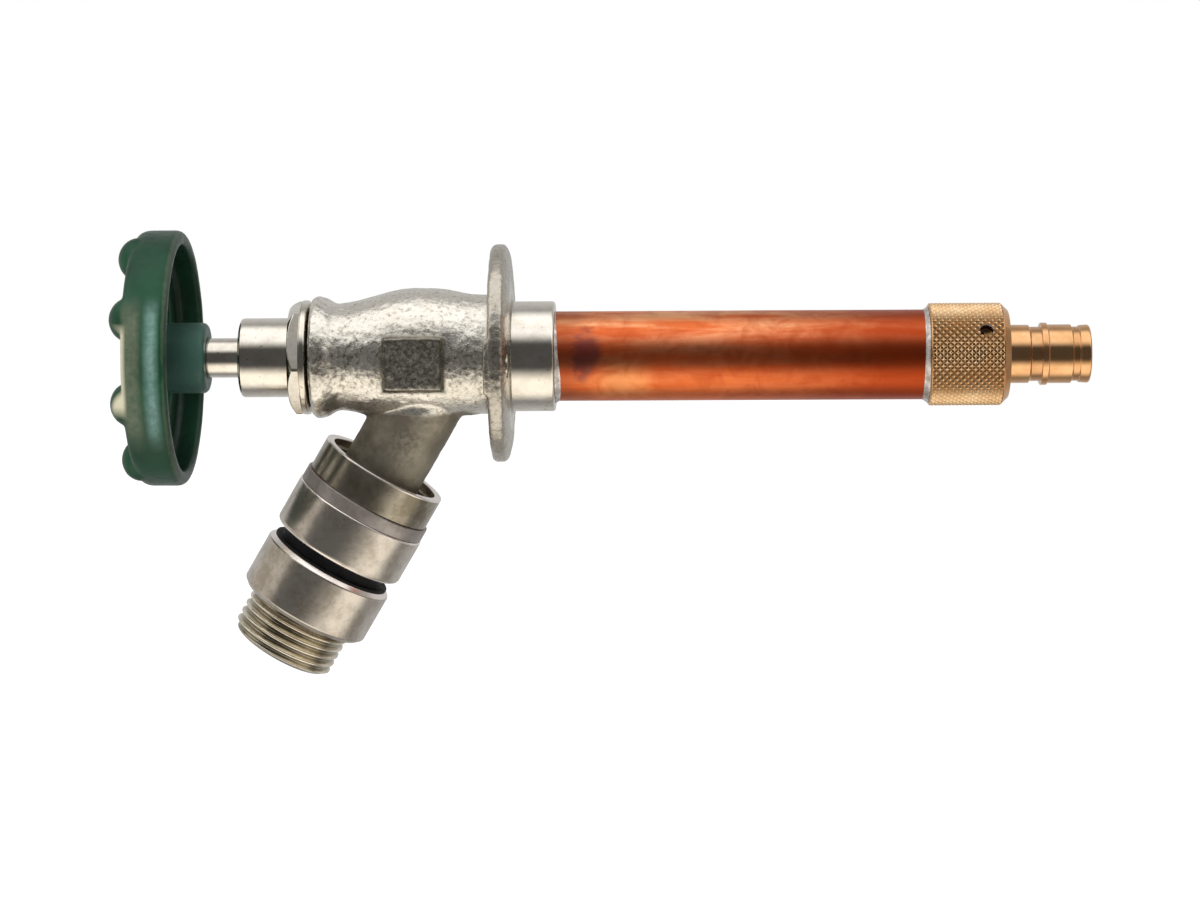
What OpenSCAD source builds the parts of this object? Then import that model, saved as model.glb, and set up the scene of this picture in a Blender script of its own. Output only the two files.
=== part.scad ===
// Frost free sillcock with a hose vacuum breaker on its slanted spout, in millimetres.
// X is the main axis and +X points into the wall. The origin is the centre of the flange's wall face.

/* [Handwheel] */
// Outer diameter of the rim
wheel_d = 63.5; // [58:0.5:76]
// Depth of the rim along the axis
rim_h = 11; // [9:0.2:15]
// Thickness of the rim's wall
rim_wall = 3.6; // [2.8:0.1:4.5]
// Thickness of the web between the rim and the hub
web_t = 3.4; // [2.6:0.1:4.2]
// How far the web lies behind the front edge of the rim
web_dish = 1; // [0.4:0.1:2]
// Width of the flat front ring that carries the grip bumps
front_ring_w = 9.2; // [7:0.1:10]
// Number of grip bumps
bump_count = 8; // [6:1:10]
// Diameter of one grip bump
bump_d = 10.8; // [8:0.2:12]
// How far a bump stands in front of the rim
bump_h = 3.5; // [2:0.1:4]
// How far the bumps are turned from the places midway between the top and the sides, in degrees
bump_turn = 4; // [0:1:22]
// Number of spokes
spoke_count = 4; // [3:1:5]
// Width of one spoke
spoke_w = 7; // [5:0.2:9]
// Diameter of the hub
hub_d = 17.6; // [16:0.1:20]
// How far the hub stands out behind the rim
hub_proud = 5.6; // [4:0.1:8]
// Gap between the hub and the bonnet when the valve is shut
wheel_gap = 8.4; // [5:0.1:12]

/* [Stem and rod] */
// Diameter of the stem
stem_d = 9.8; // [8.8:0.1:10.6]
// Width of the square that turns the stem
square_w = 6.6; // [5.8:0.1:7]
// Length of the square
square_l = 10.5; // [8:0.1:12]
// Diameter of the stem's coarse thread
stem_thread_d = 12.7; // [11.6:0.1:13.4]
// Length of the stem's coarse thread
stem_thread_l = 12; // [8:0.1:14]
// Lead of the coarse thread, one turn of travel
stem_lead = 3.175; // [2.4:0.025:3.6]
// Turns from shut to open
open_turns = 2.5; // [1.5:0.25:2.75]
// Diameter of the operating rod
rod_d = 7.94; // [6.5:0.02:8.6]
// Depth of the rod in the stem
rod_socket = 12; // [9:0.5:14]
// Diameter of the cross pin
pin_d = 2.5; // [2:0.1:3]
// Major diameter of the handle screw
handle_screw_d = 4; // [3.4:0.1:4.4]

/* [Bonnet] */
// Diameter of the nose
nose_d = 19.6; // [18:0.1:21]
// Length of the nose
nose_l = 12.5; // [10.5:0.1:15]
// Width of the hex across its flats
hex_af = 25.4; // [24:0.1:27]
// Length of the hex, up to its round flange
hex_l = 3; // [2:0.1:4]
// How far the hex is turned from a corner at the top, in degrees
hex_turn = 37; // [0:1:59]
// Diameter of the round flange behind the hex
hex_flange_d = 28.4; // [26:0.1:29]
// Thickness of the hex with its round flange
hex_h = 4.9; // [4.5:0.1:7]
// Diameter of the thread that goes into the body
bonnet_thread_d = 22.2; // [20:0.1:23]
// Length of the bonnet behind the hex
shank_l = 13.6; // [12:0.1:15]
// Section of an O-ring on the stem
o_ring_d = 1.78; // [1.5:0.01:2]

/* [Body] */
// Length from the wall face to the neck's lip
body_l = 49.6; // [48:0.1:54]
// Diameter of the rounded lip
lip_d = 30.5; // [29.8:0.1:33]
// Width of the rounded lip
lip_w = 4.4; // [3.6:0.1:5.4]
// Diameter of the waisted neck
neck_d = 26.2; // [25.6:0.1:28]
// Diameter of the barrel
barrel_d = 29.8; // [28.4:0.1:31]
// How far the upper swelling of the barrel is raised
swell_rise = 2.2; // [1:0.1:3]
// Diameter of the water chamber
chamber_d = 19.9; // [19.5:0.1:20.1]
// Diameter of the wall flange
flange_d = 54; // [52:0.2:60]
// Thickness of the wall flange
flange_t = 4.8; // [4:0.1:6]
// How far the flange's outline is raised above the main axis
flange_rise = 0.8; // [0:0.1:1.5]
// Distance between the two wall screws
screw_spacing = 41.2; // [40.4:0.1:42.6]
// Diameter of a wall screw hole
screw_hole_d = 5.2; // [4.5:0.1:5.6]
// Diameter of the turned rear collar
collar_d = 27.3; // [26.4:0.1:29]
// Length of the turned rear collar
collar_l = 10.9; // [9:0.1:14]
// Side of the blank square pad
pad_w = 14.2; // [11:0.1:15]
// How far the pad stands proud of the barrel
pad_proud = 0.4; // [0.2:0.05:0.8]

/* [Spout] */
// Where the spout's axis crosses the main axis, measured from the wall face
spout_x = 15.7; // [15:0.1:17]
// Tilt of the spout from straight down, in degrees
spout_tilt = 30.5; // [26:0.5:32]
// Diameter of the spout
spout_d = 20.3; // [19:0.1:21]
// Bore of the spout
spout_bore = 14; // [11:0.1:15]
// Diameter of the hose thread at the spout's end
spout_thread_d = 26.6; // [26:0.1:27]
// How deep the spout goes into the vacuum breaker
spout_depth = 11.8; // [11:0.1:14]
// How far the cast root of the spout flares at its sides
root_flare = 3.9; // [2:0.1:4.5]

/* [Tube] */
// Outer diameter of the copper tube, 3/4 nominal
tube_d = 22.225; // [21.6:0.005:22.6]
// Wall of the copper tube
tube_wall = 1.14; // [0.8:0.01:1.3]
// Length of the barrel from the wall face to the solder at the inlet
barrel_l = 101.6; // [90:0.1:152.4]
// Width of a solder ring
solder_w = 1.4; // [0.8:0.1:2]
// Depth of the tube in the body and in the inlet fitting
tube_socket = 10; // [8:0.1:10.5]

/* [Inlet fitting] */
// Diameter of the knurled part
knurl_d = 25.4; // [24.6:0.1:28]
// Length of the knurled part
knurl_l = 19.6; // [19:0.1:24]
// Chamfer at its outlet end
knurl_chamfer = 1.8; // [1:0.1:2.4]
// Diameter of the sight hole
sight_d = 3.4; // [2:0.1:3.8]
// How far round from the near side the sight hole lies, in degrees
sight_angle = 34; // [0:1:60]
// Diameter of the barb's land, 1/2 expansion tube
barb_d = 14.5; // [14:0.1:15.5]
// Diameter of the barb's stop ridge
ridge_d = 15.4; // [15:0.1:17]
// Diameter of the barb's grooves
groove_d = 13.4; // [12.8:0.1:13.8]
// Bore of the barb
barb_bore = 10.2; // [9:0.1:10.6]
// Length of the barb's land
land_l = 5.8; // [4.5:0.1:8]

/* [Valve] */
// Diameter of the seat's lip
seat_d = 12.4; // [12:0.1:13.4]
// Diameter of the seat washer
washer_d = 15.2; // [14.4:0.1:15.6]
// Thickness of the seat washer
washer_t = 3.2; // [2.6:0.1:4]
// Number of guide wings on the plunger
wing_count = 4; // [3:1:5]

/* [Vacuum breaker] */
// Distance of the breaker's top from the main axis
breaker_d0 = 32.2; // [31.5:0.1:33]
// Diameter of the top ring
cup_d = 32.5; // [32:0.1:34]
// Height of the top ring
cup_h = 8.4; // [7.5:0.1:9]
// How far the satin band stands proud of the top ring
band_proud = 0.6; // [0.3:0.05:1]
// Height of the satin band
band_h = 3.5; // [2.5:0.1:4]
// How far the lower shell stands proud of the top ring
shell_proud = 0.85; // [0.5:0.05:1.4]
// Length of the drain sleeve above its clip
sleeve_lip_l = 1.3; // [1:0.1:2.5]
// How far the lower ring stands proud of the top ring
ring_proud = 0.6; // [0.3:0.05:1]
// Height of the lower ring
ring_h = 14.4; // [12:0.1:17]
// Diameter of the hose thread
hose_thread_d = 26.9; // [26.5:0.1:27.2]
// Length of the hose thread with its relief
hose_thread_l = 11.7; // [9:0.1:13]
// Bore of the hose nipple
hose_bore = 17; // [15:0.1:18.6]
// Travel of the drain sleeve
drain_travel = 2.5; // [1.5:0.1:2.5]
// Travel of the check poppet
poppet_travel = 2.5; // [1.5:0.1:3]

/* [Fits] */
// Radial clearance of a running fit
run_gap = 0.05; // [0.03:0.01:0.08]
// Clearance between fixed pieces that meet
seat_gap = 0.04; // [0.03:0.01:0.06]

/* [Hidden] */
$fn = 96;

green = "#2f6149";
nickel = "#b9b0a0";
cast_nickel = "#8f897c";
brass = "#c39a58";
copper = "#b8643c";
solder = "#c9c4b8";
rubber = "#26262a";
steel = "#9a9ca0";
plastic = "#3a4650";

// Stations along the main axis, from the bonnet's seat on the body to the front of the handwheel
travel = stem_lead * open_turns;
lip_x = -body_l;
gasket_show = 0.2;
hex_x = lip_x - gasket_show - hex_h;
nose_x = hex_x - nose_l;
hub_x = nose_x - wheel_gap;
rim_back_x = hub_x - hub_proud;
rim_x = rim_back_x - rim_h;
web_x = rim_x + web_dish;
boss_rise = 0.6;
boss_x = web_x - boss_rise;
hub_counterbore = 4.4;
square_x = hub_x - hub_counterbore;
stem_tip_x = square_x - square_l;
handle_washer_d = 13;
handle_washer_t = 1;
washer_front_x = boss_x - seat_gap - handle_washer_t;
handle_screw_grip = 9.5;

// Stem thread and the shoulder in the bonnet that stops it
stop_depth = 2.7;
stop_x = hex_x + stop_depth;
stop_gap = 0.5;
stem_thread_x = stop_x + travel + stop_gap;
stem_tail_d = stem_thread_d - 0.7;
stem_tail_l = 11.6;
stem_end_x = stem_thread_x + stem_thread_l + stem_tail_l;
pin_x = stem_end_x - 5;
rod_x = stem_end_x - rod_socket;
shank_x = lip_x - gasket_show + shank_l;
o_ring_stations = [nose_x + 0.35 * nose_l, nose_x + 0.68 * nose_l];
o_ring_bore = stem_d + 2 * run_gap;

// Tube, fitting and seat
tube_r = tube_d / 2;
tube_bore_r = tube_r - tube_wall;
tube_x = collar_l - tube_socket;
fitting_x = barrel_l + solder_w;
tube_end_x = fitting_x + tube_socket;
knurl_end_x = fitting_x + knurl_l;
seat_lip_h = 1.2;
seat_lip_w = 1.1;
tube_stop_l = 2.8;
seat_floor_x = tube_end_x + tube_stop_l;
seat_x = seat_floor_x - seat_lip_h;
washer_end_x = seat_x - seat_gap;
washer_x = washer_end_x - washer_t;
cup_depth = 1.8;
plunger_head_t = 2.4;
plunger_hub_l = 12;
plunger_head_x = washer_x - plunger_head_t;
plunger_x = plunger_head_x - plunger_hub_l;
rod_end_x = plunger_x - seat_gap;
spigot_d = 6;
spigot_l = 7.2;
clip_t = 1.1;
clip_inset = 2.4;
clip_x = rod_end_x + spigot_l - clip_inset;
clip_reach = 0.9;
plunger_screw_d = 3.9;
plunger_screw_l = 4.6;

// Barb, from the knurled part to the rounded tip
barb_neck_l = 5.1;
barb_groove_l = 3;
ridge_l = 1.6;
tip_groove_l = 2.1;
tip_l = 2.6;
ridge_x = knurl_end_x + barb_neck_l + barb_groove_l;
land_x = ridge_x + ridge_l;
tip_groove_x = land_x + land_l;
tip_x = tip_groove_x + tip_groove_l;
barb_end_x = tip_x + tip_l;

// Vacuum breaker: distances along the spout's axis, from its top ring to its web and skirt
band_d = cup_d + 2 * band_proud;
shell_d = cup_d + 2 * shell_proud;
ring_d = cup_d + 2 * ring_proud;
band_d0 = breaker_d0 + cup_h;
shell_d0 = band_d0 + band_h;
cup_recess = 2.6;
spout_thread_d0 = breaker_d0 + cup_recess;
spout_l = breaker_d0 + spout_depth;
spout_gasket_t = 2.3;
breaker_web_d0 = spout_l + spout_gasket_t + 2 * seat_gap;
breaker_web_t = 3;
breaker_web_d1 = breaker_web_d0 + breaker_web_t;
core_d = cup_d - 1.3;
cup_wall = 1.95;
skirt_d = 20.4;
skirt_bore = 16.4;
skirt_l = 14.6;
skirt_d1 = breaker_web_d1 + skirt_l;
sleeve_ring_t = 1.1;
sleeve_groove_w = sleeve_ring_t + 0.2;
sleeve_ring_d0 = skirt_d1 - 4.2;
breaker_port_d = 12;
lock_screw_d = 4;
lock_screw_d0 = breaker_d0 + 5.4;

// Drain sleeve: neck, boot and clip, the shell's lip that holds them, and the gap that closes on the boot
lip_t = 1.5;
neck_r = 13.2;
boot_t = 0.5;
boot_r = neck_r + seat_gap + boot_t;
shell_lip_r = boot_r + 0.25;
stroke_spare = 0.6;
sleeve_top_d = breaker_web_d1 + drain_travel + stroke_spare;
sleeve_clip_t = 1;
sleeve_clip_d0 = sleeve_top_d + sleeve_lip_l;
sleeve_clip_r = shell_lip_r + 0.9;
lip_d0 = sleeve_clip_d0 + sleeve_clip_t + seat_gap;
shell_d1 = lip_d0 + lip_t;
shell_bore_r = sleeve_clip_r + 0.3;
counterbore_l = 5.5;
counterbore_d1 = sleeve_top_d + counterbore_l;
counterbore_r = neck_r - 1.1;
sleeve_step_d = skirt_d1 + drain_travel + stroke_spare;
boot_washer_t = 0.55;
boot_washer_r = ring_d / 2 - 1.2;
vent_spare = 0.35;
ring_d0 = shell_d1 + drain_travel + boot_washer_t + vent_spare;
ring_d1 = ring_d0 + ring_h;
nipple_d1 = ring_d1 + hose_thread_l;

// Check poppet
poppet_d = 14.8;
poppet_seal_t = 1.1;
poppet_t = 1.6;
poppet_seal_d0 = breaker_web_d1 + seat_gap;
poppet_d0 = poppet_seal_d0 + poppet_seal_t + seat_gap;
poppet_stem_d = 3;
guide_t = 2.4;
guide_inset = 1;
guide_d0 = skirt_d1 - guide_t - guide_inset;
poppet_stop_d = guide_d0 - poppet_travel - run_gap;
poppet_end_d = guide_d0 + guide_t + 0.6;
spring_seat_gap = 0.1;

// Cast body: where the upper swelling starts, is fullest and ends, and where its underside starts to taper
lip_recess = 0.6;
swell_x0 = lip_x + lip_w + 1.1;
swell_full_x0 = -spout_x - 8.3;
swell_full_x1 = -spout_x - 4.3;
swell_back_x = -flange_t - 2.2;
taper_x = 0.7 - spout_x;
pad_x = -spout_x - 7.8;
pad_z = -0.3;

// Places a child along the main axis, its Z axis on +X
module on_axis(x = 0) {
  translate([x, 0, 0]) rotate([0, 90, 0]) children();
}

// Places a child on the spout's axis, its Z axis pointing out of the spout
module on_spout(d = 0) {
  translate([-spout_x, 0, 0]) rotate([0, 180 + spout_tilt, 0]) translate([0, 0, d]) children();
}

// Points of an arc with half-axes a and b
function arc(cx, cy, a, b, from, to, n = 6) =
  [for (i = [0:n]) let (t = from + (to - from) * i / n) [cx + a * cos(t), cy + b * sin(t)]];

// The points of a list without its two ends
function inside(points) = [for (i = [1:len(points) - 2]) points[i]];

// Cosine ease between two values
function ease(a, b, t) = a + (b - a) * (1 - cos(180 * min(1, max(0, t)))) / 2;

// A turned ring between two stations, with a chamfer c0 at its start and c1 at its end
module turned_ring(outer_d, inner_d, z0, z1, c0 = 0, c1 = 0) {
  ro = outer_d / 2;
  ri = inner_d / 2;
  rotate_extrude() polygon([[ri, z0], [ro - c0, z0], [ro, z0 + c0], [ro, z1 - c1], [ro - c1, z1], [ri, z1]]);
}

// A turned solid plug with a chamfer at each end
module turned_rod(d, z0, z1, c0 = 0, c1 = 0) {
  turned_ring(d, 0, z0, z1, c0, c1);
}

// Outline of the wheel's half section, from the front boss round the rim to the back of the hub
module wheel_section() {
  r = wheel_d / 2;
  inner = r - rim_wall;
  hub = hub_d / 2;
  front_in = r - front_ring_w;
  corner_a = 2.2;
  corner_b = 3;
  back_round = 1.9;
  web_back = web_x + web_t;
  fillet = 1.6;
  polygon(concat(
    [[0, boss_x], [hub - 0.8, boss_x], [hub, web_x], [front_in - 1, web_x], [front_in, rim_x]],
    arc(r - corner_a, rim_x + corner_b, corner_a, corner_b, 270, 360),
    arc(r - back_round, rim_back_x - back_round, back_round, back_round, 0, 90),
    [[inner + 0.5, rim_back_x], [inner, rim_back_x - 0.5]],
    arc(inner - fillet, web_back + fillet, fillet, fillet, 0, -90, 4),
    arc(hub + fillet, web_back + fillet, fillet, fillet, 270, 180, 4),
    [[hub, hub_x - 0.7], [hub - 0.7, hub_x], [0, hub_x]]
  ));
}

// Kidney-shaped window between two spokes: two arcs about the hub, joined by round ends
module wheel_window() {
  outer = wheel_d / 2 - front_ring_w - 2.4;
  inner = hub_d / 2 + 1.6;
  mid = (outer + inner) / 2;
  half = (outer - inner) / 2;
  swing = 180 / spoke_count - asin((spoke_w / 2 + half) / mid);
  steps = 7;
  cx = mid * cos(swing);
  cy = mid * sin(swing);
  polygon(concat(
    arc(0, 0, outer, outer, -swing, swing, steps),
    inside(arc(cx, cy, half, half, swing, swing + 180, steps)),
    arc(0, 0, inner, inner, swing, -swing, steps),
    inside(arc(cx, -cy, half, half, 180 - swing, 360 - swing, steps))
  ));
}

// Rounded grip bump, standing on the front ring
module grip_bump() {
  root = 1.5;
  rotate_extrude($fn = 48) polygon(concat(
    [[0, root], [bump_d / 2, root]],
    arc(0, root, bump_d / 2, bump_h + root, 0, -90, 9)
  ));
}

module handwheel() {
  bump_r = wheel_d / 2 - bump_d / 2 + 0.2;
  bump_a = 90 - bump_turn;
  color(green) difference() {
    union() {
      on_axis() rotate_extrude() wheel_section();
      for (i = [0:bump_count - 1])
        on_axis(rim_x) rotate(bump_a + (i + 0.5) * 360 / bump_count) translate([bump_r, 0, 0]) grip_bump();
    }
    for (i = [0:spoke_count - 1])
      on_axis(rim_x - 1) rotate((i + 0.5) * 360 / spoke_count) linear_extrude(rim_h - 1) wheel_window();
    translate([(boss_x + square_x) / 2, 0, 0])
      cube([square_x - boss_x + 2, square_w + 2 * seat_gap, square_w + 2 * seat_gap], center = true);
    on_axis(square_x - seat_gap) cylinder(d = stem_d + 2 * seat_gap, h = hub_x - square_x + 1);
  }
}

// Flat washer between the screw's head and the wheel's boss
module handle_washer() {
  bore = handle_screw_d + 0.4;
  color(steel) on_axis() turned_ring(handle_washer_d, bore, washer_front_x, boss_x - seat_gap, 0.2, 0.2);
}

// Pan head screw with a cross-cut slot, into the end of the stem
module handle_screw() {
  head_d = 9.2;
  head_h = 2.6;
  head_x = washer_front_x - seat_gap;
  slot_w = 1.3;
  slot_depth = 1.2;
  color(steel) difference() {
    union() {
      on_axis(head_x) rotate_extrude() polygon(concat([[0, 0], [head_d / 2, 0]],
        arc(0, -0.8, head_d / 2, head_h - 0.8, 0, -90, 6)));
      on_axis() turned_rod(handle_screw_d, head_x - 0.2, stem_tip_x + handle_screw_grip, 0, 0.5);
    }
    translate([head_x - head_h, 0, 0]) cube([2 * slot_depth, slot_w, head_d + 1], center = true);
  }
}

module stem() {
  slip = 2 * seat_gap;
  color(nickel) difference() {
    union() {
      translate([(stem_tip_x + square_x) / 2, 0, 0]) cube([square_l, square_w, square_w], center = true);
      on_axis() turned_rod(stem_d, square_x, stem_thread_x, 0.5, 0);
      on_axis() turned_rod(stem_thread_d, stem_thread_x, stem_thread_x + stem_thread_l, 0.6, 0.6);
      on_axis() turned_rod(stem_tail_d, stem_thread_x + stem_thread_l - 1, stem_end_x, 0, 0.8);
    }
    on_axis(stem_tip_x - 1) cylinder(d = handle_screw_d + slip, h = handle_screw_grip + 2);
    on_axis(rod_x) cylinder(d = rod_d + slip, h = rod_socket + 1);
    rod_pin_hole(stem_tail_d + 2);
  }
}

// Cross hole through the stem and the rod
module rod_pin_hole(length) {
  translate([pin_x, 0, 0]) rotate([90, 0, 0]) cylinder(d = pin_d + 2 * seat_gap, h = length, center = true);
}

module stem_rod() {
  color(brass) difference() {
    union() {
      on_axis() turned_rod(rod_d, rod_x + seat_gap, rod_end_x, 0.4, 0.3);
      on_axis() turned_rod(spigot_d, rod_end_x - 1, rod_end_x + spigot_l, 0, 0.4);
    }
    on_axis() turned_ring(spigot_d + 2, spigot_d - 1.6, clip_x, clip_x + clip_t + 0.1);
    rod_pin_hole(rod_d + 2);
  }
}

module rod_pin() {
  color(steel) translate([pin_x, 0, 0]) rotate([90, 0, 0])
    cylinder(d = pin_d, h = stem_tail_d - 0.4, center = true);
}

// Nose, hex, round flange and threaded shank in one turned piece
module bonnet() {
  groove_w = o_ring_d + 0.2;
  shank_tip = 2.3;
  hex_x1 = hex_x + hex_h;
  hex_r = hex_af / 2 / cos(30);
  color(nickel) difference() {
    union() {
      on_axis() turned_rod(nose_d, nose_x, hex_x + 1, 1, 0);
      intersection() {
        on_axis(hex_x) rotate(hex_turn) cylinder(r = hex_r, h = hex_l + 0.3, $fn = 6);
        on_axis() turned_rod(2 * hex_r + 0.2, hex_x, hex_x1, 2.2, 0);
      }
      on_axis() turned_rod(hex_flange_d, hex_x + hex_l, hex_x1, 0.2, 1.4);
      on_axis() turned_rod(bonnet_thread_d, hex_x1 - 1, shank_x - shank_tip, 0, 0.8);
      on_axis() turned_rod(chamber_d - 0.9, shank_x - shank_tip - 1, shank_x, 0, 0.5);
    }
    on_axis(nose_x - 1) cylinder(d = stem_d + 2 * run_gap, h = nose_l + hex_h);
    on_axis(stop_x) cylinder(d = stem_thread_d + 2 * run_gap, h = shank_x - stop_x + 1);
    for (x = o_ring_stations)
      on_axis(x - groove_w / 2) turned_ring(o_ring_bore + 2 * o_ring_d + 0.1, stem_d - 1, 0, groove_w);
  }
}

module stem_o_rings() {
  mean_r = (o_ring_bore + o_ring_d) / 2;
  color(rubber) for (x = o_ring_stations)
    on_axis(x) rotate_extrude() translate([mean_r, 0]) circle(d = o_ring_d, $fn = 24);
}

// Flat washer in the recess of the body's lip
module bonnet_gasket() {
  color(rubber) on_axis() turned_ring(lip_d - 2.8, bonnet_thread_d + 4 * seat_gap,
    lip_x - gasket_show + seat_gap, lip_x + lip_recess - seat_gap);
}

// Radius of the raised swelling of the barrel at station x
function swell_r(x) =
  let (top = barrel_d / 2, front = neck_d / 2 - swell_rise + 0.2, back = top - 1.7)
  x < swell_full_x0 ? ease(front, top, (x - swell_x0) / (swell_full_x0 - swell_x0))
    : ease(top, back, (x - swell_full_x1) / (swell_back_x - swell_full_x1));

// Revolved outline of the casting: lip, waisted neck and barrel, up to the flange
module barrel_section() {
  lip_r = lip_d / 2;
  neck_x = lip_x + lip_w + 2.6;
  steps = 8;
  full_x = neck_x + 10;
  foot = 1.5;
  foot_r = barrel_d / 2 - 0.7;
  polygon(concat(
    [[0, lip_x]],
    arc(lip_r - 1.9, lip_x + 1.9, 1.9, 1.9, -90, 30, 5),
    [for (i = [1:4]) [ease(lip_r - 0.25, neck_d / 2, i / 4), lip_x + 2.9 + (neck_x - lip_x - 2.9) * i / 4]],
    [for (i = [1:steps]) [ease(neck_d / 2, barrel_d / 2, i / steps), neck_x + (full_x - neck_x) * i / steps]],
    [[barrel_d / 2, taper_x]],
    arc(foot_r + foot, -flange_t - foot, foot, foot, 180, 90, 4),
    [[foot_r + foot, -flange_t / 2], [0, -flange_t / 2]]
  ));
}

// Upper swelling of the barrel, revolved about a raised axis
module swelling_section() {
  x1 = -flange_t / 2;
  steps = 20;
  polygon(concat(
    [[0, swell_x0]],
    [for (i = [0:steps]) let (x = swell_x0 + (x1 - swell_x0) * i / steps) [swell_r(x), x]],
    [[0, x1]]
  ));
}

// Flared root of the spout: oval rings that draw in until they sink into the round spout
module spout_root() {
  d0 = 5;
  d1 = 18.2;
  rings = 8;
  sides = 40;
  sunk_r = spout_d / 2 - 0.5;
  flare_x = 0.15 * root_flare + 0.5;
  flare_y = root_flare + 0.5;
  points = [for (i = [0:rings], k = [0:sides - 1])
    let (t = 1 - i / rings, grow = 1 - sqrt(1 - t * t), a = 360 * (k + 0.5) / sides)
    [(sunk_r + flare_x * grow) * cos(a), (sunk_r + flare_y * grow) * sin(a), d0 + (d1 - d0) * i / rings]];
  walls = [for (i = [0:rings - 1], k = [0:sides - 1], half = [0, 1])
    let (n = (k + 1) % sides, low = i * sides, high = low + sides)
    half == 0 ? [low + k, high + k, high + n] : [low + k, high + n, low + n]];
  ends = [[for (k = [0:sides - 1]) k], [for (k = [sides - 1:-1:0]) rings * sides + k]];
  polyhedron(points, concat(walls, ends));
}

// Wall flange with rounded edges
module flange_section() {
  r = flange_d / 2;
  front = 1.4;
  back = 1.9;
  back_w = 5.5;
  polygon(concat(
    [[0, -flange_t]],
    arc(r - front, -flange_t + front, front, front, -90, 0, 5),
    arc(r - back_w, -back, back_w, back, 0, 90, 7),
    [[0, 0]]
  ));
}

// Raised screw seat on the front of the flange, run out to its edge
module screw_seat() {
  w = 13.6;
  h = flange_t / 2 + 0.9;
  translate([0, 0, flange_t / 2]) intersection() {
    union() {
      translate([0, screw_spacing / 2, 0]) cylinder(d = w, h = h);
      translate([-w / 2, screw_spacing / 2, 0]) cube([w, flange_d / 2, h]);
    }
    cylinder(d = flange_d - 1.2, h = h);
  }
}

module valve_body() {
  slip = 2 * seat_gap;
  pad_face = barrel_d / 2 + pad_proud;
  pad_h = pad_w * 0.92;
  color(cast_nickel) difference() {
    union() {
      on_axis() rotate_extrude() barrel_section();
      translate([0, 0, swell_rise]) on_axis() rotate_extrude() swelling_section();
      translate([0, 0, flange_rise]) on_axis() rotate_extrude() flange_section();
      for (side = [0, 180]) on_axis(0) rotate([0, 180, side]) screw_seat();
      on_axis() turned_rod(collar_d, -1, collar_l, 0, 1);
      on_spout(5) cylinder(d = spout_d, h = spout_thread_d0 - 4);
      on_spout() spout_root();
      on_spout() turned_rod(spout_thread_d, spout_thread_d0, spout_l, 1.2, 1);
      translate([pad_x - pad_w / 2, -pad_face, pad_z - pad_h / 2]) cube([pad_w, pad_face / 2, pad_h]);
    }
    on_axis(lip_x - 1) cylinder(d = bonnet_thread_d + slip, h = shank_l);
    on_axis(lip_x - 1) cylinder(d = lip_d - 2.6, h = 1 + lip_recess);
    on_axis(lip_x + 5) cylinder(d = chamber_d, h = body_l);
    on_axis(tube_x - seat_gap) cylinder(d = tube_d + slip, h = collar_l - tube_x + 1);
    on_spout() cylinder(d = spout_bore, h = spout_l + 1);
    for (side = [-1, 1]) translate([0, side * screw_spacing / 2, 0])
      on_axis(-flange_t - 3) cylinder(d = screw_hole_d, h = flange_t + 4);
  }
}

module copper_tube() {
  color(copper) on_axis() turned_ring(tube_d, 2 * tube_bore_r, tube_x, tube_end_x - seat_gap, 0.2, 0.2);
}

// Fillet of solder, tall at the socket's face and feathered out on the tube
module solder_fillet(rise) {
  bore = tube_r + seat_gap / 2;
  rotate_extrude() polygon([[bore, 0], [bore + rise, 0], [bore + rise * 0.72, solder_w * 0.4],
    [bore + rise * 0.22, solder_w * 0.8], [bore + 0.05, solder_w - seat_gap], [bore, solder_w - seat_gap]]);
}

module front_solder_ring() {
  color(solder) on_axis(collar_l + seat_gap) solder_fillet(0.9);
}

module rear_solder_ring() {
  color(solder) on_axis(fitting_x - seat_gap) rotate([180, 0, 0]) solder_fillet(1.1);
}

// Knurled socket, valve seat and barb in one turned piece
module inlet_fitting() {
  knurl_r = knurl_d / 2;
  neck_r1 = barb_d / 2 - 0.05;
  groove_r = groove_d / 2;
  land_r = barb_d / 2;
  tip_round = 1.2;
  sight_x = knurl_end_x - 6.1;
  seat_lip_bore = seat_d - 2 * seat_lip_w - 0.4;
  color(brass) difference() {
    on_axis() rotate_extrude() polygon(concat(
      [[0, fitting_x], [knurl_r - 0.5, fitting_x], [knurl_r, fitting_x + 0.5],
        [knurl_r, knurl_end_x - knurl_chamfer], [knurl_r - knurl_chamfer, knurl_end_x],
        [neck_r1, knurl_end_x], [neck_r1, ridge_x - barb_groove_l], [groove_r, ridge_x - barb_groove_l + 0.4],
        [groove_r, ridge_x], [ridge_d / 2 - 0.2, ridge_x], [ridge_d / 2, ridge_x + 0.3],
        [ridge_d / 2, land_x - 0.3], [land_r, land_x], [land_r, tip_groove_x], [groove_r, tip_groove_x + 0.3],
        [groove_r, tip_x - 0.3], [land_r - 0.2, tip_x]],
      arc(land_r - tip_round, barb_end_x - tip_round, tip_round, tip_round, 0, 90, 5),
      [[0, barb_end_x]]
    ));
    on_axis(fitting_x - 1) cylinder(d = tube_d + 2 * seat_gap, h = tube_socket + 1);
    on_axis(tube_end_x - 1) difference() {
      cylinder(r = tube_bore_r, h = seat_floor_x - tube_end_x + 1);
      translate([0, 0, seat_x - tube_end_x + 1]) turned_ring(seat_d, seat_lip_bore, 0, 5, 0.3, 0);
    }
    on_axis(seat_x - 1) cylinder(d = barb_bore, h = barb_end_x - seat_x + 2);
    rotate([-sight_angle, 0, 0]) translate([sight_x, -knurl_r - 1, 0]) rotate([-90, 0, 0])
      cylinder(d = sight_d, h = 4);
  }
}

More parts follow.
